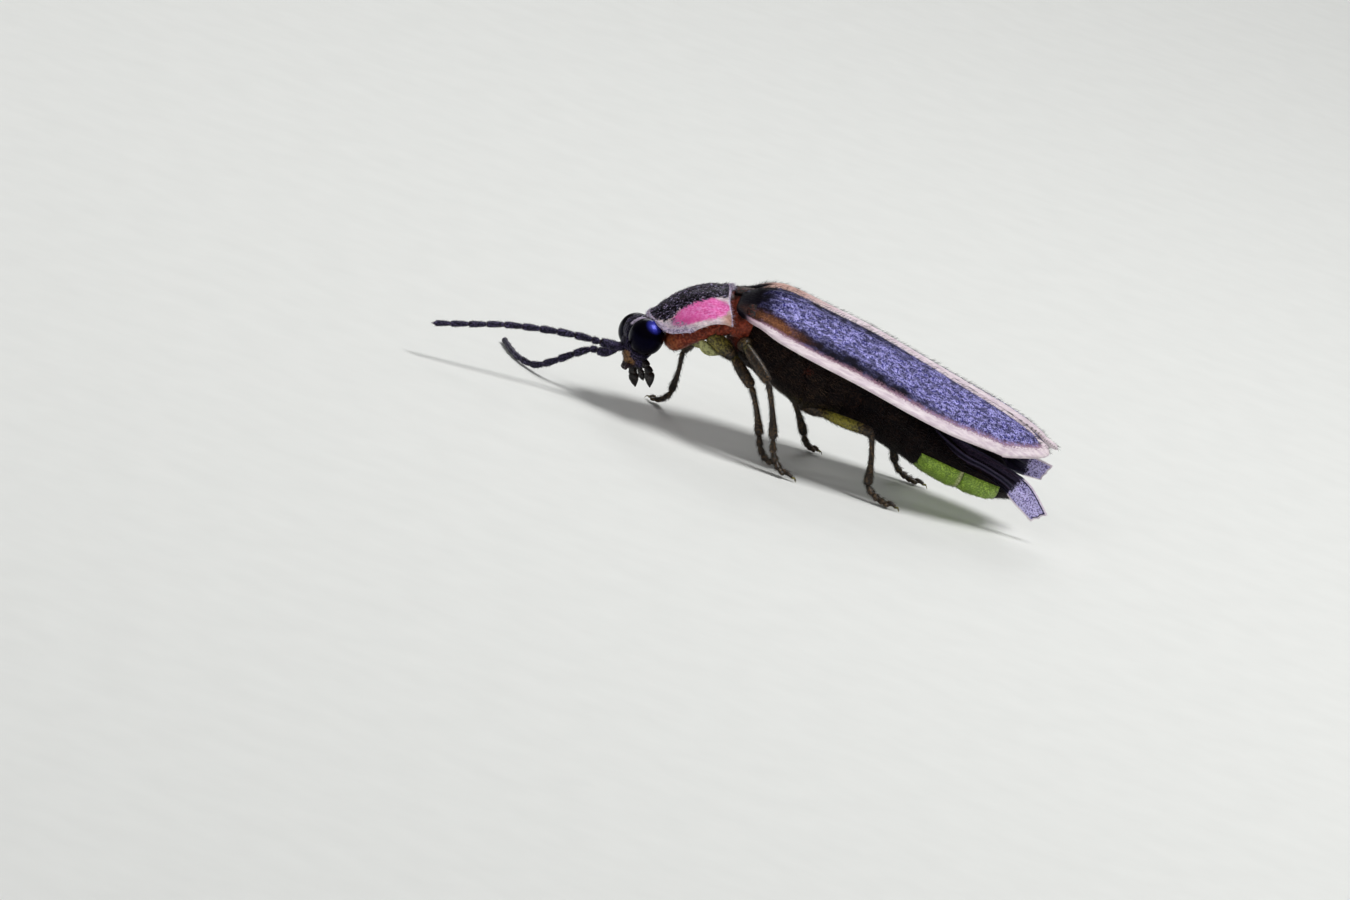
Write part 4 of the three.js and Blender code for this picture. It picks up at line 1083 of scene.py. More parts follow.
def feeler_tree():
    """A feeler along a curve: like joints swelling from a narrow waist, after a long one and a short one."""
    tree, given = node_tree("Feeler", {
        "Joints": "Int", "Joint": "Float", "Scape": "Float", "Width": "Float", "Material": "Material"})
    line = add(tree, "GeometryNodeSplineParameter")
    length, factor = line.outputs["Length"], line.outputs["Factor"]
    past = add(tree, "ShaderNodeMath", [length, given["Scape"]], operation="SUBTRACT")
    beyond = add(tree, "ShaderNodeMath", [past, given["Joint"]], operation="DIVIDE")
    within = add(tree, "ShaderNodeMath", [beyond], operation="FRACT")
    swell = add(tree, "ShaderNodeFloatCurve", {"Value": within})
    fit_curve(swell.mapping, JOINT_SWELL)
    scape = add(tree, "ShaderNodeMath", [length, given["Scape"]], operation="DIVIDE")
    scape_swell = add(tree, "ShaderNodeFloatCurve", {"Value": scape})
    fit_curve(scape_swell.mapping, SCAPE_SWELL)
    early = add(tree, "ShaderNodeMath", [length, given["Scape"]], operation="LESS_THAN")
    profile = add(tree, "ShaderNodeMix", [early, swell, scape_swell])
    # The feeler thins to 0.8 toward its end and closes in a round tip
    slim = mask(tree, {factor: 1}, 0.2, 1.0, 1.0, 0.8, times=[profile])
    wide = mask(tree, {factor: 1}, 1.0, 0.975, 0.15, 1.0, times=[slim, given["Width"]])
    shape = add(tree, "GeometryNodeResampleCurve", {"Curve": given["Geometry"], "Count": 260})
    for name, kind, value in (("share", "FLOAT", factor),
                              ("lie", "FLOAT_VECTOR", add(tree, "GeometryNodeInputTangent").outputs[0]),
                              ("amber", "FLOAT", mask(tree, {profile: 1}, 0.66, 0.5))):
        shape = add(tree, "GeometryNodeStoreNamedAttribute",
                    {"Geometry": shape, "Name": name, "Value": value}, data_type=kind)
    circle = add(tree, "GeometryNodeCurvePrimitiveCircle", {"Resolution": 14, "Radius": 0.5})
    rounded = add(tree, "GeometryNodeStoreNamedAttribute",
                  {"Geometry": circle, "Name": "around", "Value": factor})
    tube = add(tree, "GeometryNodeCurveToMesh", {
        "Curve": shape, "Profile Curve": rounded, "Scale": wide, "Fill Caps": True})
    return end_tree(tree, given, tube)


def make_feeler(word, sizes):
    """One feeler, its like joints sharing what the first two leave of its length."""
    path = smooth_path(list(on_head(FEELER_ROOTS[word])) + FEELER_LINES[word], 60)
    data = bpy.data.curves.new("feeler_line", "CURVE")
    data.dimensions = "3D"
    spline = data.splines.new("POLY")
    spline.points.add(len(path) - 1)
    spline.points.foreach_set("co", np.column_stack([path, np.ones(len(path))]).ravel())
    carrier = new_object("feeler_line", data)
    scape = sizes.scape_length / MM
    tree = bpy.data.node_groups.get("Feeler") or feeler_tree()
    feeler = grown(carrier, tree, "feeler_" + word, joints=FEELER_JOINTS,
                   joint=(lengths_along(path)[-1] - scape) / FEELER_JOINTS, scape=scape,
                   width=sizes.feeler_width / MM, material=paint("Black chitin"))
    bpy.data.objects.remove(carrier)
    mesh = feeler.data
    share, around = (read(mesh.attributes[name].data, "value") for name in ("share", "around"))
    places = np.column_stack([share, around])[read(mesh.loops, "vertex_index", 1, np.int32)]
    keep(mesh, places, {"fuzz": np.ones(len(share)), "growth": np.ones(len(share))})
    return feeler


def make_body(name, finish, part, xs, sides, heights, lie, values):
    """A piece of the trunk: rings at these stations, pushed out by heights in mm, and marked."""
    half, top, bottom = (along(part["x"], part[key])(xs)[:, None] for key in ("half", "top", "bottom"))
    turn = full_turn(sides)[None]
    c, s = squared(turn)
    y = half * c
    z = (top + bottom) / 2 + (top - bottom) / 2 * s
    x = np.broadcast_to(xs[:, None], y.shape)
    rings = np.stack([x, y, z], axis=-1)
    pushed = unit(rings - rings.mean(axis=1, keepdims=True)) * heights(x, z, np.sin(turn))[..., None]
    skin = Skin()
    skin.rings(rings + pushed, lie=lie, **values(x, z))
    return skin.object(name, finish)


def make_neck():
    """The neck body under the shield, soft and folded."""
    xs = np.linspace(NECK["x"][0], NECK["x"][-1], 80)
    ends = round_ends(len(xs), 0.05, 0.03)[:, None] - 1

    def heights(x, z, level):
        return (-0.07 * bump(x, 2.72 + 0.3 * (z - 3.2), 0.04) - 0.07 * bump(x, 3.16 + 0.15 * (z - 3.2), 0.05)
                - 0.03 * bump(x, 3.4, 0.04) + 0.012 * np.sin(9 * x + 4 * z) + 0.25 * ends)

    def values(x, z):
        # The pale streak high on the neck, before the covers, is a painted highlight on a fold of skin
        return {"fuzz": 0.7, "growth": 1.0, "pale": 0.6 * bump(x, 3.16, 0.03) * bump(z, 4.3, 0.12),
                "amber": 0.3 * step(2.3, 1.7, x) + 0.3 * step(3.0, 2.6, z) * step(2.7, 2.2, x),
                "dark": (0.75 * bump(x, 3.3, 0.16) * step(3.8, 4.2, z)
                         + 0.8 * step(3.3, 3.5, x) * step(4.1, 4.35, z))}

    return make_body("neck_body", "Red chitin", NECK, xs, 72, heights, (1, 0, -0.4), values)


def make_scutellum():
    """The small plate between the bases of the covers."""
    front, rear = SCUTELLUM["front"] - 0.25, SCUTELLUM["rear"]

    def surface(u, v):
        x = front + (rear - front) * u
        y = (2 * v - 1) * SCUTELLUM["half"] * np.sqrt(np.maximum(0.08, 1 - 0.92 * u * u)) * 1.1
        return np.stack([x, y, cover_top(x) - 0.02 - SCUTELLUM["lift"] * u - 0.25 * y * y], axis=-1)

    rings, u, v = plate_rings(surface, 0.25, edge_steps(30), edge_steps(30))
    skin = Skin()
    skin.rings(rings, plate=True, lie=(1, 0, -0.2), fuzz=on_top(np.ones_like(u)), growth=1.0, amber=0.0,
               pale=0.0, dark=0.85)
    return skin.object("scutellum_plate", "Red chitin")


def make_thorax():
    """The middle body with the seams between its plates, a ledge along its sides and swollen leg bases."""
    xs = np.linspace(THORAX["x"][0] - 0.1, THORAX["x"][-1], 130)
    ends = round_ends(len(xs), 0.05, 0.05)[:, None] - 1

    def heights(x, z, level):
        seams = sum(-0.07 * bump(x, place + slope * (z - 3.0), 0.04)
                    + 0.04 * bump(x, place + 0.1 + slope * (z - 3.0), 0.05) for place, slope in THORAX_SEAMS)
        ledge = -0.07 * bump(z, 3.35 - 0.14 * (x - 3.4), 0.05) * step(3.6, 4.2, x)
        belly = 0.08 * bump(x, 4.6, 0.25) * step(3.1, 2.6, z) + 0.1 * bump(x, 6.1, 0.3) * step(2.7, 2.2, z)
        return seams + ledge + belly + 0.4 * ends

    def values(x, z):
        return {"fuzz": step(4.2, 3.8, z), "growth": 1.0,
                "olive": 0.3 * step(2.5, 2.2, z) * step(4.6, 5.0, x),
                "red": (0.9 * step(3.75, 3.5, x) * step(2.6, 3.1, z)
                        + 0.4 * bump(x, 5.8, 0.3) * bump(z, 3.2, 0.3))}

    return make_body("thorax_body", "Brown chitin", THORAX, xs, 72, heights, (1, 0, -0.3), values)


def make_abdomen():
    """The abdomen, each segment lapping over the next, with a fold along the sides and a scar on each one."""
    spans = zip(SEGMENT_ENDS, SEGMENT_ENDS[1:])
    xs = np.array([front + (rear - front) * share for front, rear in spans for share in SEGMENT_SHARES])
    segments = len(SEGMENT_ENDS) - 1
    lift = np.tile(SEGMENT_LIFT, segments)[:, None]
    hind = np.tile(step(0.85, 0.95, SEGMENT_SHARES), segments)[:, None]
    ends = round_ends(len(xs), 0.0, 0.03)[:, None] - 1

    def heights(x, z, level):
        fold = -0.05 * bump(level, -0.12, 0.05) + 0.03 * bump(level, -0.25, 0.06)
        scars = -0.02 * bump(level, -0.75, 0.05) * bump((x * 1.25) % 1, 0.5, 0.12)
        return lift + fold + scars + 0.2 * ends

    def values(x, z):
        return {"fuzz": 0.2 + 0.8 * step(2.9, 2.3, z), "growth": 1 + 0.4 * hind, "red": 0.25 * hind,
                "olive": 0.6 * bump(x, 7.4, 0.9) * step(2.15, 1.95, z)}

    return make_body("abdomen_body", "Brown chitin", ABDOMEN, xs, 96, heights, (1, 0, -0.3), values)


def make_lantern(word):
    """One light organ, a waxy plate let into the underside of its segment, its upper edge sloping down."""
    front, rear = LIGHT_SPANS[word]
    half, top, bottom = (along(ABDOMEN["x"], ABDOMEN[key]) for key in ("half", "top", "bottom"))
    first, last = LIGHT_SPANS["front"][0], LIGHT_SPANS["rear"][1]
    gap, proud, flare = 0.015, 0.045, 0.02

    def surface(u, v):
        x = front + gap + (rear - front - 2 * gap) * u
        line = LIGHT_TOP[0] + (LIGHT_TOP[1] - LIGHT_TOP[0]) * (x - first) / (last - first)
        middle, tall = (top(x) + bottom(x)) / 2, (top(x) - bottom(x)) / 2
        level = np.clip((middle - line) / tall, -1, 1)
        start = np.arcsin(np.sign(level) * np.abs(level) ** (1 / BODY_ROUND))
        c, s = squared(math.pi + start + (math.pi - 2 * start) * v)
        grow = 1 + flare * u
        return np.stack([x, (half(x) + proud) * grow * c, middle + (tall + proud) * grow * s], axis=-1)

    u, v = np.meshgrid(edge_steps(44), edge_steps(90), indexing="ij")
    base = surface(u, v)
    inward = unit(np.stack([np.zeros_like(u), -base[..., 1], 2.0 - base[..., 2]], axis=-1))
    # Heights in mm: it swells inside its edges, with a groove along them and faint rings
    edge = np.minimum(np.minimum(u, 1 - u) * 1.4, np.minimum(v, 1 - v) * 3.2)
    puff = 0.05 * step(0.0, 0.3, edge) - 0.03 * step(0.06, 0.0, edge) + 0.006 * np.sin(u * 34)
    skin = Skin()
    skin.rings(closed(base - inward * puff[..., None], base + inward * 0.12), plate=True, lie=(1, 0, -0.1),
               fuzz=on_top(np.full_like(u, 0.4)), growth=0.8,
               pale=0.8 * step(0.8, 1.0, u) * (word == "front"))
    return skin.object("light_organ_" + word, "Lantern cuticle")


def make_leg(word, sizes):
    """One leg: coxa, trochanter, femur, tibia, a foot of five joints and two claws."""
    side, hip, joints, toe = LEGS[word]
    hip, thigh, knee, ankle, tip = (
        np.array([x, side * out, z]) for x, out, z in (hip, *joints, (*toe, TOE_HEIGHT)))
    thick = sizes.leg_thickness * (THIN_LEG[1] if word == THIN_LEG[0] else 1.0)
    out = np.array([0.0, side, 0.0])
    upward = (0, 0, 1)
    skin = Skin()
    rows = iter(range(LEG_ROWS))

    def part(points, count, wide, deep, facing=out, ends=(0.1, 0.1), amber=0.0, fuzz=1.0, growth=1.0,
             pale=0.0):
        path = smooth_path(points, count) if len(points) < count else points
        close = round_ends(count, *ends)
        t = np.linspace(0, 1, count)
        row = next(rows) / LEG_ROWS
        if np.ndim(amber):
            amber = amber[:, None]
        limb(skin, path, along(*wide)(t) * close * thick, along(*deep)(t) * close * thick, side=facing,
             cell=(0, row, 1, row + 0.07), fuzz=fuzz, growth=growth, amber=amber, pale=pale)

    # Coxa, with the pale flap of the front ones
    front = word.startswith("front")
    part([hip, (hip + thigh) / 2 + out * 0.02, thigh + (thigh - hip) * 0.12], 26,
         ([0, 0.5, 0.85, 1], [0.22, 0.27, 0.2, 0.13]), ([0, 0.4, 1], [0.18, 0.22, 0.14]), ends=(0.1, 0.12),
         amber=(0.5 if front else 0.0) * step(1.0, 0.5, np.linspace(0, 1, 26)))
    if front:
        flap = hip + np.array([[-0.24, 0.0, -0.28], [0.09, 0.0, -0.48], [0.64, 0.0, -0.4]])
        part(flap, 30, ([0, 0.35, 0.8, 1], [0.07, 0.17, 0.12, 0.05]), ([0, 1], [0.035, 0.03]),
             ends=(0.12, 0.1), pale=0.9, fuzz=0.3)
    # Trochanter and femur
    lap = knee - thigh
    part([thigh - lap * 0.06, thigh + lap * 0.1], 14, ([0, 0.5, 1], [0.13, 0.16, 0.12]),
         ([0, 0.5, 1], [0.12, 0.15, 0.12]), ends=(0.3, 0.3), amber=0.3)
    bow = 0.04 * np.linalg.norm(lap) * unit(np.cross(lap, np.cross(out, lap)))
    t = np.linspace(0, 1, 44)
    part([thigh, (thigh + knee) / 2 + bow, knee + lap * 0.03], 44,
         ([0, 0.15, 0.5, 0.85, 0.95, 1], [0.1, 0.14, 0.18, 0.165, 0.15, 0.12]),
         ([0, 0.15, 0.45, 0.8, 1], [0.1, 0.12, 0.15, 0.12, 0.1]),
         amber=0.75 * bump(t, 0.45, 0.4) if word.startswith("hind") else 0.5 * step(0.4, 0.0, t))
    # Tibia
    shin = ankle - knee
    arch = 0.03 * np.linalg.norm(shin) * np.array([1.0, 0.0, 0.0])
    part([knee - shin * 0.02, (knee + ankle) / 2 + arch, ankle + shin * 0.02], 44,
         ([0, 0.08, 0.2, 0.6, 0.9, 1], [0.07, 0.1, 0.082, 0.09, 0.135, 0.12]),
         ([0, 0.08, 0.2, 0.6, 0.9, 1], [0.07, 0.09, 0.075, 0.085, 0.12, 0.1]), growth=1.2)
    # Foot: it comes down from the ankle in a bend, and lies along the floor to the toe
    bend = ankle + (tip - ankle) * 0.15
    bend[2] = ankle[2] + (tip[2] - ankle[2]) * 0.55
    heel = ankle + (tip - ankle) * 0.42
    heel[2] = tip[2]
    s = np.linspace(0, 1, 60)[:, None]
    curve = (1 - s)**3 * ankle + 3 * (1 - s)**2 * s * bend + 3 * (1 - s) * s**2 * heel + s**3 * tip
    reach = lengths_along(curve)
    foot = tracks(reach / reach[-1], curve)
    rows_each = 18
    for k, (start, end, flare) in enumerate(FOOT_JOINTS):
        path = foot(np.linspace(start, end, rows_each))
        if k == LOBED_JOINT:
            level = unit(np.cross(unit(path[-1] - path[0]), upward))
            for turn in (-1, 1):
                part(path + level * turn * np.linspace(0.03, 0.15, rows_each)[:, None], rows_each,
                     ([0, 0.7, 1], [0.07, 0.11, 0.09]), ([0, 1], [0.06, 0.075]), facing=upward,
                     ends=(0.2, 0.3), amber=0.2, growth=0.8)
            continue
        if k == CLAW_JOINT:
            path[:, 2] += 0.045 * np.sin(np.linspace(0, math.pi, rows_each)) + 0.02
        part(path, rows_each, ([0, 0.3, 0.85, 1], [flare * 0.5, flare * 0.7, flare, flare * 0.85]),
             ([0, 0.3, 0.85, 1], [0.06, 0.08, 0.055 if k == CLAW_JOINT else 0.1, 0.08]), facing=upward,
             ends=(0.15, 0.2), amber=0.1)
    ahead = unit(tip - foot(0.85))
    for turn in (-1, 1):
        level = unit(np.cross(ahead, upward)) * turn
        claw = smooth_path([tip - ahead * 0.03, tip + ahead * 0.07 + level * 0.06 + np.array([0, 0, 0.02]),
                            tip + ahead * 0.14 + level * 0.09 - np.array([0, 0, 0.07])], 12)
        limb(skin, claw, np.linspace(0.036, 0.006, 12), np.linspace(0.034, 0.006, 12), side=upward,
             sides=8, cell=(0, 0.96, 1, 1), fuzz=0.0, growth=0.5, amber=0.5, pale=0.0)
    return skin.object("leg_skin_" + word, "Leg chitin")


def make_wing(word, sizes):
    """A hind wing: a pleated strip along its path that rolls, opens and ends in a pale veined tip."""
    side, path, roll, wide = WINGS[word]
    shares = np.linspace(0, 1, len(path))
    count, across = 120, 60
    t = np.linspace(0, 1, count)
    a = np.linspace(-1, 1, across)
    centre = tracks(shares, [(x, side * out, z) for x, out, z in path])(t)
    ahead = unit(np.gradient(centre, axis=0))
    level = np.broadcast_to([0.0, side, 0.0], ahead.shape)
    level = unit(level - ahead * np.sum(level * ahead, axis=1, keepdims=True))
    angle = np.radians(along(shares, roll)(t))[:, None] * -side
    outward = level * np.cos(angle) + np.cross(ahead, level) * np.sin(angle)
    face = (unit(np.cross(outward, ahead)) * -side)[:, None]
    width = along(shares, wide)(t)[:, None]
    open_out = step(0.6, 0.9, t)[:, None]
    pleat = 0.08 * np.sin(a * 5.2 + 0.6) * (1 - 0.8 * open_out) + 0.03 * np.sin(a * 13 + 1.5) * (1 - open_out)
    slant = step(0.75, 1.0, t)[:, None] * (0.014 * np.sin(8 * a + 1) - 0.09 * a + 0.05)
    body = (centre[:, None] + outward[:, None] * (a * width / 2)[..., None] + face * pleat[..., None]
            + ahead[:, None] * slant[..., None])
    # Distances in mm to the end and to the nearer side
    to_end = (1 - t)[:, None] * np.linalg.norm(centre[-1] - centre[-2]) * (count - 1) * np.ones((1, across))
    border = np.minimum(to_end, (1 - np.abs(a)) * width / 2)
    start = WING_TIP_START[side]
    tip = step(start, start + 0.16, t)[:, None] * (0.7 + 0.3 * step(-0.5, 0.1, a * -side))
    tip = tip + 0.5 * step(start + 0.2, start + 0.3, t)[:, None]
    vein = 1.2 * bump(border, 0.085, 0.018) * step(0.2, 0.5, tip) * (side < 0) * step(0.9, 0.5, a)
    ridge = sum(bump(a, place, 0.05) for place in (-0.78, -0.35, 0.1, 0.55)) * (1 - open_out)
    edge = step(0.075, 0.045, border) * step(0.2, 0.5, tip) * (0.75 + 0.25 * step(0.3, 0.0, to_end))
    thick = (sizes.membrane_thickness / MM * (0.5 + 0.6 * np.maximum(vein, ridge))
             * np.sqrt(np.clip(1.02 - a**8, 0.1, 1)))
    half = face * thick[..., None]
    skin = Skin()
    # The fold value marks painted highlights along the pleat ridges and in a band beside them
    skin.rings(closed(body + half, body - half), plate=True, lie=(1, 0, 0), fuzz=0.0, growth=1.0, tip=tip,
               fold=0.6 * ridge + 0.5 * bump(a, -0.6, 0.2), vein=vein, edge=edge)
    return skin.object("hind_wing_skin_" + word, "Wing membrane")


LENGTH = {"unit": "LENGTH", "precision": 6}


class FireflySizes(bpy.types.PropertyGroup):
    """Sizes of the plates, facets, feelers and legs."""
    cover_thickness: FloatProperty(
        name="Cover thickness", description="Thickness of a wing cover", default=0.14 * MM, **LENGTH)
    rib_height: FloatProperty(
        name="Rib height", description="Height of a wing cover's ribs", default=0.025 * MM, **LENGTH)
    shield_thickness: FloatProperty(
        name="Shield thickness", description="Thickness of the shield", default=0.14 * MM, **LENGTH)
    membrane_thickness: FloatProperty(
        name="Membrane thickness", description="Thickness of a hind wing", default=0.04 * MM, **LENGTH)
    facet_rise: FloatProperty(
        name="Facet rise", description="Height of an eye facet over its edges", default=0.0016 * MM, **LENGTH)
    facet_share: FloatProperty(
        name="Facet share", description="Width of a facet's top as a share of its foot", default=0.72,
        subtype="FACTOR")
    feeler_width: FloatProperty(
        name="Feeler width", description="Greatest width of a feeler joint", default=0.235 * MM, **LENGTH)
    scape_length: FloatProperty(
        name="Scape length", description="Length of the first two joints", default=1.2 * MM, **LENGTH)
    leg_thickness: FloatProperty(
        name="Leg thickness", description="Factor on the width of every leg", default=1.0, subtype="FACTOR")


class FireflyCoat(bpy.types.PropertyGroup):
    """Lengths and counts of the hairs."""
    hair_length: FloatProperty(
        name="Hair length", description="Length of a hair on the legs and trunk", default=0.12 * MM, **LENGTH)
    hair_width: FloatProperty(
        name="Hair width", description="Half width of a hair at its root, drawn wide enough to show",
        default=0.0045 * MM, **LENGTH)
    density: FloatProperty(name="Density", description="Hairs on a square millimetre", default=260.0)
    seed: IntProperty(name="Seed", description="Seed of the hairs' places", default=7)


class FireflyColours(bpy.types.PropertyGroup):
    """Colours of the finishes."""


for title, (label, colour) in {
    "cover_dark": ("Cover dark", "#0b080d"),
    # Painted violet sheen on the wing covers' disc
    "cover_navy": ("Cover painted sheen", "#29267c"),
    # Painted glints on the wing covers' wrinkle crests
    "cover_violet": ("Cover painted glint", "#c8c3ff"),
    "cover_brown": ("Cover brown", "#8c5a3a"),
    "cover_blush": ("Cover blush", "#9c7888"),
    "tan": ("Tan", "#bf8a70"),
    "cream": ("Cream", "#f4e8ea"),
    "cream_shade": ("Cream shade", "#dccad3"),
    "pink": ("Pink", "#ffa0e0"),
    "pink_deep": ("Deep pink", "#e85fac"),
    "lip": ("Lip", "#cdbfd6"),
    # Painted glints on the shield's dark cap
    "spark": ("Painted speck glint", "#b3a6cc"),
    "black": ("Black", "#070508"),
    # Specks of painted glint on the head and feelers, and dark grain lines on the shield's hem
    "black_shine": ("Black grain and painted glint", "#5d5376"),
    "brown": ("Brown", "#2b1c15"),
    "red": ("Red brown", "#b4553a"),
    "orange": ("Orange brown", "#9c5836"),
    "golden": ("Golden brown", "#866337"),
    "red_deep": ("Deep red brown", "#6b2a1c"),
    "olive": ("Olive", "#8a8528"),
    "amber": ("Amber", "#978e38"),
    "leg": ("Leg", "#6f5638"),
    "leg_dark": ("Leg dark", "#19110c"),
    "leg_pale": ("Leg pale", "#b7b878"),
    "lantern": ("Lantern", "#b6d850"),
    "lantern_deep": ("Lantern shade", "#6a8828"),
    "lantern_edge": ("Lantern edge", "#b8bc86"),
    "membrane_dark": ("Membrane", "#0c080d"),
    # Painted highlights on the wing pleats and painted sheen on the wing tips
    "membrane_fold": ("Membrane painted ridge highlight", "#4f3c52"),
    "membrane_grain": ("Membrane painted sheen dark", "#6a5e9c"),
    "membrane_violet": ("Membrane painted sheen", "#d6cdfc"),
    "membrane_edge": ("Membrane edge", "#ecdfe8"),
    "eye": ("Eye", "#05030b"),
    # Blue painted highlight on the eyes
    "eye_sheen": ("Eye painted highlight", "#3438b0"),
    "bristle": ("Bristle", "#6a5238"),
    "bristle_dark": ("Dark bristle", "#342c29"),
    "floor": ("Floor", "#e4e5e2"),
    "floor_shade": ("Floor shade", "#dcddda"),
}.items():
    FireflyColours.__annotations__[title] = FloatVectorProperty(
        name=label, description=label + " colour of the finish", subtype="COLOR", size=4, min=0.0, max=1.0,
        default=linear(colour))


class FireflyStage(bpy.types.PropertyGroup):
    """View and light."""
    azimuth: FloatProperty(
        name="Azimuth", description="Turn of the camera round the insect", default=math.radians(-8),
        subtype="ANGLE")
    elevation: FloatProperty(
        name="Elevation", description="Height of the camera over the floor", default=math.radians(12),
        subtype="ANGLE")
    roll: FloatProperty(
        name="Roll", description="Turn of the camera about its own line", default=math.radians(19.17),
        subtype="ANGLE")
    distance: FloatProperty(
        name="Distance", description="From the camera to the middle of the picture", default=290 * MM,
        unit="LENGTH")
    lens: FloatProperty(name="Lens", description="Focal length", default=249.5, subtype="DISTANCE_CAMERA")
    aim: FloatVectorProperty(
        name="Aim", description="The middle of the picture, from the floor under the front of the head",
        subtype="TRANSLATION", unit="LENGTH", default=(2.918 * MM, 0.0, -0.755 * MM))
    light: FloatProperty(name="Light", description="Power of the main softbox", default=0.34, unit="POWER")


class FIREFLY_OT_covers(bpy.types.Operator):
    """Makes the two wing covers, their short hairs and the fringe along the middle"""
    bl_idname = "firefly.covers"
    bl_label = "Wing covers"

    def execute(self, context):
        for word in SIDES:
            piece = make_cover(word, context.scene.firefly_sizes)
            coat(piece, "cover_hairs_" + word, "wing_cover", "Wing cover chitin", 0, 1.2, 0.085, 0.8, 58)
            coat(piece, "cover_fringe_" + word, "wing_cover", "Dark bristle", 40, 1.0, 0.14, 1.0, 32,
                 "fringe")
            settle(piece, "wing_cover", "elytron_" + word)
        return {"FINISHED"}


class FIREFLY_OT_shield(bpy.types.Operator):
    """Makes the shield over the neck and its hairs"""
    bl_idname = "firefly.shield"
    bl_label = "Shield"

    def execute(self, context):
        piece = make_shield(context.scene.firefly_sizes)
        coat(piece, "shield_hairs", "pronotum", "Shield chitin", 1, 1.3, 0.1, 0.8)
        settle(piece, "pronotum", "pronotum")
        return {"FINISHED"}


class FIREFLY_OT_head(bpy.types.Operator):
    """Makes the head with its eyes and palps"""
    bl_idname = "firefly.head"
    bl_label = "Head"

    def execute(self, context):
        head = make_head()
        coat(head, "head_hairs", "black_cuticle", "Dark bristle", 2, 1.2, 0.08, 1.0, 45)
        settle(head, "black_cuticle", "head")
        for word in SIDES:
            settle(make_eye(word, context.scene.firefly_sizes), "eye", "eye_" + word)
            palps = make_palps(word)
            coat(palps, "palp_hairs_" + word, "mouthpart", "Dark bristle", 3, 1.0, 0.06, 0.8)
            settle(palps, "mouthpart", "palp_" + word)
        return {"FINISHED"}


class FIREFLY_OT_feelers(bpy.types.Operator):
    """Makes the two feelers, joint by joint"""
    bl_idname = "firefly.feelers"
    bl_label = "Feelers"

    def execute(self, context):
        for word in SIDES:
            piece = make_feeler(word, context.scene.firefly_sizes)
            coat(piece, "feeler_hairs_" + word, "black_cuticle", "Dark bristle", 4, 2.2, 0.075, 0.8, 42)
            settle(piece, "black_cuticle", "antenna_" + word)
        return {"FINISHED"}


class FIREFLY_OT_trunk(bpy.types.Operator):
    """Makes the neck body, scutellum, thorax, abdomen and light organs"""
    bl_idname = "firefly.trunk"
    bl_label = "Trunk and lanterns"

    def execute(self, context):
        for seed, (piece, name, slot, nodes, bristle, density) in enumerate([
            (make_neck(), "neck_hairs", "red_cuticle", ["prothorax"], "Golden bristle", 0.8),
            (make_scutellum(), "scutellum_hairs", "red_cuticle", ["scutellum"], "Golden bristle", 0.8),
            (make_thorax(), "thorax_hairs", "brown_cuticle", ["thorax"], "Golden bristle", 1.0),
            (make_abdomen(), "abdomen_hairs", "brown_cuticle", ["abdomen", "abdomen_tip"], "Dark bristle",
             1.0),
            (make_lantern("front"), "light_hairs_front", "lantern", ["lantern_front"], "Golden bristle", 0.6),
            (make_lantern("rear"), "light_hairs_rear", "lantern", ["lantern_rear"], "Golden bristle", 0.6),
        ], 5):
            coat(piece, name, slot, bristle, seed, density)
            settle(piece, slot, *nodes)
        return {"FINISHED"}


class FIREFLY_OT_legs(bpy.types.Operator):
    """Makes the six legs with their feet, claws and hairs"""
    bl_idname = "firefly.legs"
    bl_label = "Legs"

    def execute(self, context):
        for seed, word in enumerate(LEGS, 20):
            piece = make_leg(word, context.scene.firefly_sizes)
            coat(piece, "leg_hairs_" + word, "leg", "Dark bristle", seed, 1.6, lean=48)
            settle(piece, "leg", "leg_" + word)
        return {"FINISHED"}


class FIREFLY_OT_wings(bpy.types.Operator):
    """Makes the folded hind wings whose tips show behind the covers"""
    bl_idname = "firefly.wings"
    bl_label = "Hind wings"

    def execute(self, context):
        for word in WINGS:
            settle(make_wing(word, context.scene.firefly_sizes), "wing_membrane", "hindwing_" + word)
        return {"FINISHED"}


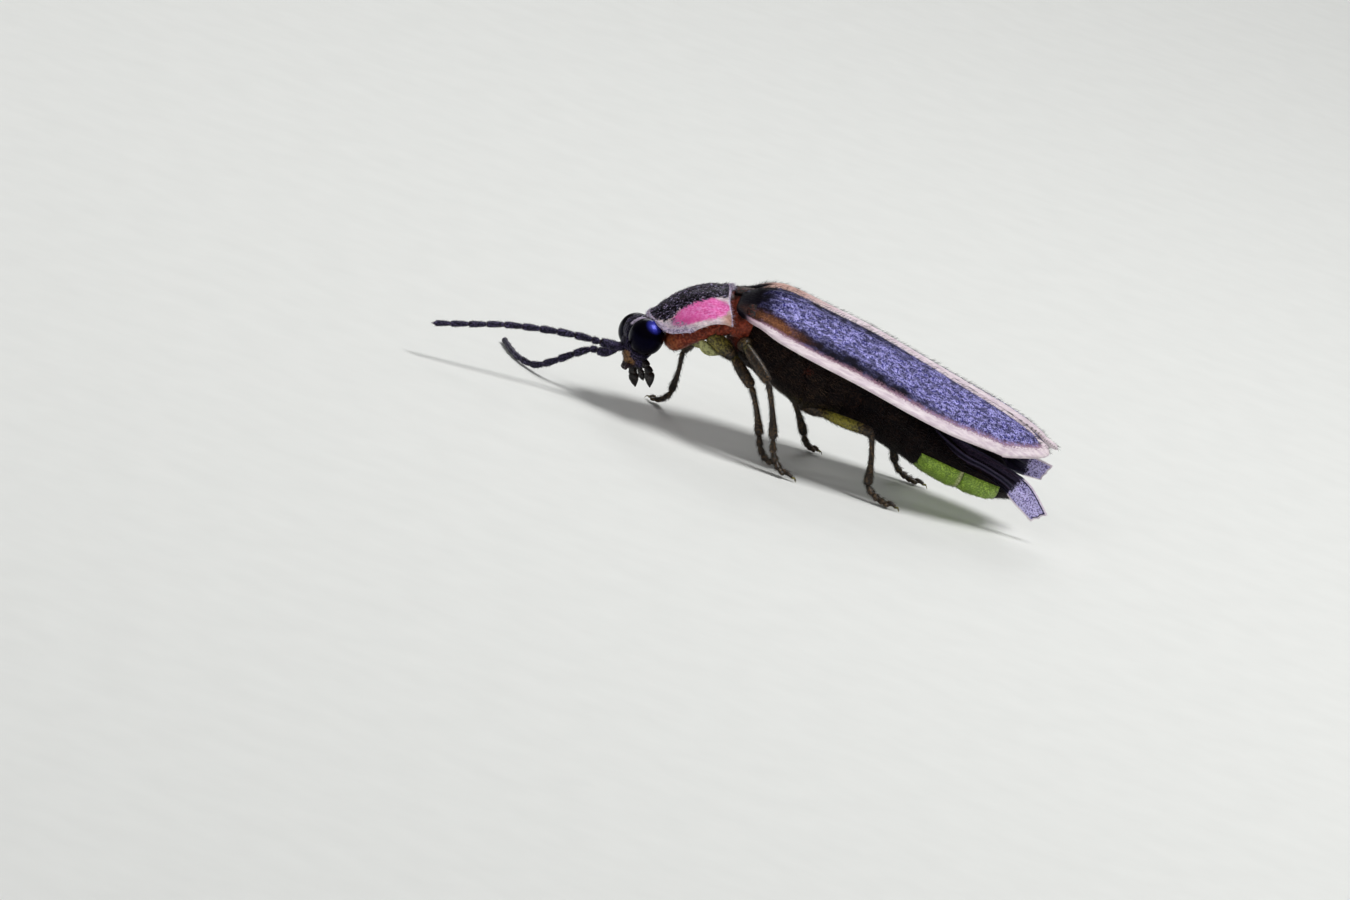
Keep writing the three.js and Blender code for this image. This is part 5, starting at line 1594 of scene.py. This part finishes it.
class FIREFLY_OT_stage(bpy.types.Operator):
    """Makes the floor, the softboxes and the camera"""
    bl_idname = "firefly.stage"
    bl_label = "Stage"

    def execute(self, context):
        scene = context.scene
        stage = scene.firefly_stage
        mesh = bpy.data.meshes.new("floor")
        corners = [(x * FLOOR_HALF, y * FLOOR_HALF, 0) for x, y in ((-1, -1), (1, -1), (1, 1), (-1, 1))]
        mesh.from_pydata(corners, [], [(0, 1, 2, 3)])
        mesh.materials.append(paint("Studio paper"))
        new_object("floor", mesh)
        for name, (place, size, share, mirrored) in SOFTBOXES.items():
            light = bpy.data.lights.new(name, "AREA")
            light.size = size
            light.energy = stage.light * share
            lamp = new_object(name, light)
            lamp.location = place
            lamp.visible_glossy = mirrored
            lamp.rotation_euler = (-Vector(place)).to_track_quat("-Z", "Y").to_euler()
        scene.world = bpy.data.worlds.new("Studio")
        scene.world.use_nodes = True
        feed(scene.world.node_tree, scene.world.node_tree.nodes["Background"], [linear(SKY[0]), SKY[1]])
        camera = bpy.data.cameras.new("Camera")
        camera.lens = stage.lens
        camera.sensor_width = FILM_WIDTH
        camera.clip_start = 0.01
        camera.clip_end = 10.0
        a, e, r = stage.azimuth, stage.elevation, stage.roll
        back = Vector((math.sin(a) * math.cos(e), -math.cos(a) * math.cos(e), math.sin(e)))
        level = Vector((math.cos(a), math.sin(a), 0))
        right = level * math.cos(r) + back.cross(level) * math.sin(r)
        turn = Matrix((right, back.cross(right), back)).transposed()
        aim = Vector(stage.aim) + Vector(frame_shift()) * MM
        scene.camera = new_object("Camera", camera)
        scene.camera.matrix_world = Matrix.Translation(aim + back * stage.distance) @ turn.to_4x4()
        scene.view_settings.view_transform = "Standard"
        return {"FINISHED"}


STEPS = (FIREFLY_OT_stage, FIREFLY_OT_covers, FIREFLY_OT_shield, FIREFLY_OT_head, FIREFLY_OT_feelers,
         FIREFLY_OT_trunk, FIREFLY_OT_legs, FIREFLY_OT_wings)
GROUPS = {"firefly_sizes": FireflySizes, "firefly_coat": FireflyCoat, "firefly_colours": FireflyColours,
          "firefly_stage": FireflyStage}


class FIREFLY_PT_panel(bpy.types.Panel):
    """The firefly's sizes, colours and making steps"""
    bl_idname = "FIREFLY_PT_panel"
    bl_label = "Firefly"
    bl_space_type = "VIEW_3D"
    bl_region_type = "UI"
    bl_category = "Firefly"

    def draw(self, context):
        for name, group in GROUPS.items():
            for title in group.__annotations__:
                self.layout.prop(getattr(context.scene, name), title)
        for operator in STEPS:
            self.layout.operator(operator.bl_idname)


def register():
    for cls in (*GROUPS.values(), *STEPS, FIREFLY_PT_panel):
        bpy.utils.register_class(cls)
    for title, group in GROUPS.items():
        setattr(bpy.types.Scene, title, PointerProperty(type=group))


def unregister():
    for title in GROUPS:
        delattr(bpy.types.Scene, title)
    for cls in reversed((*GROUPS.values(), *STEPS, FIREFLY_PT_panel)):
        bpy.utils.unregister_class(cls)


def main():
    """Makes the whole firefly on its stage."""
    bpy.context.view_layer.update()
    register()
    for operator in STEPS:
        area, name = operator.bl_idname.split(".")
        getattr(getattr(bpy.ops, area), name)()


if __name__ == "__main__":
    main()
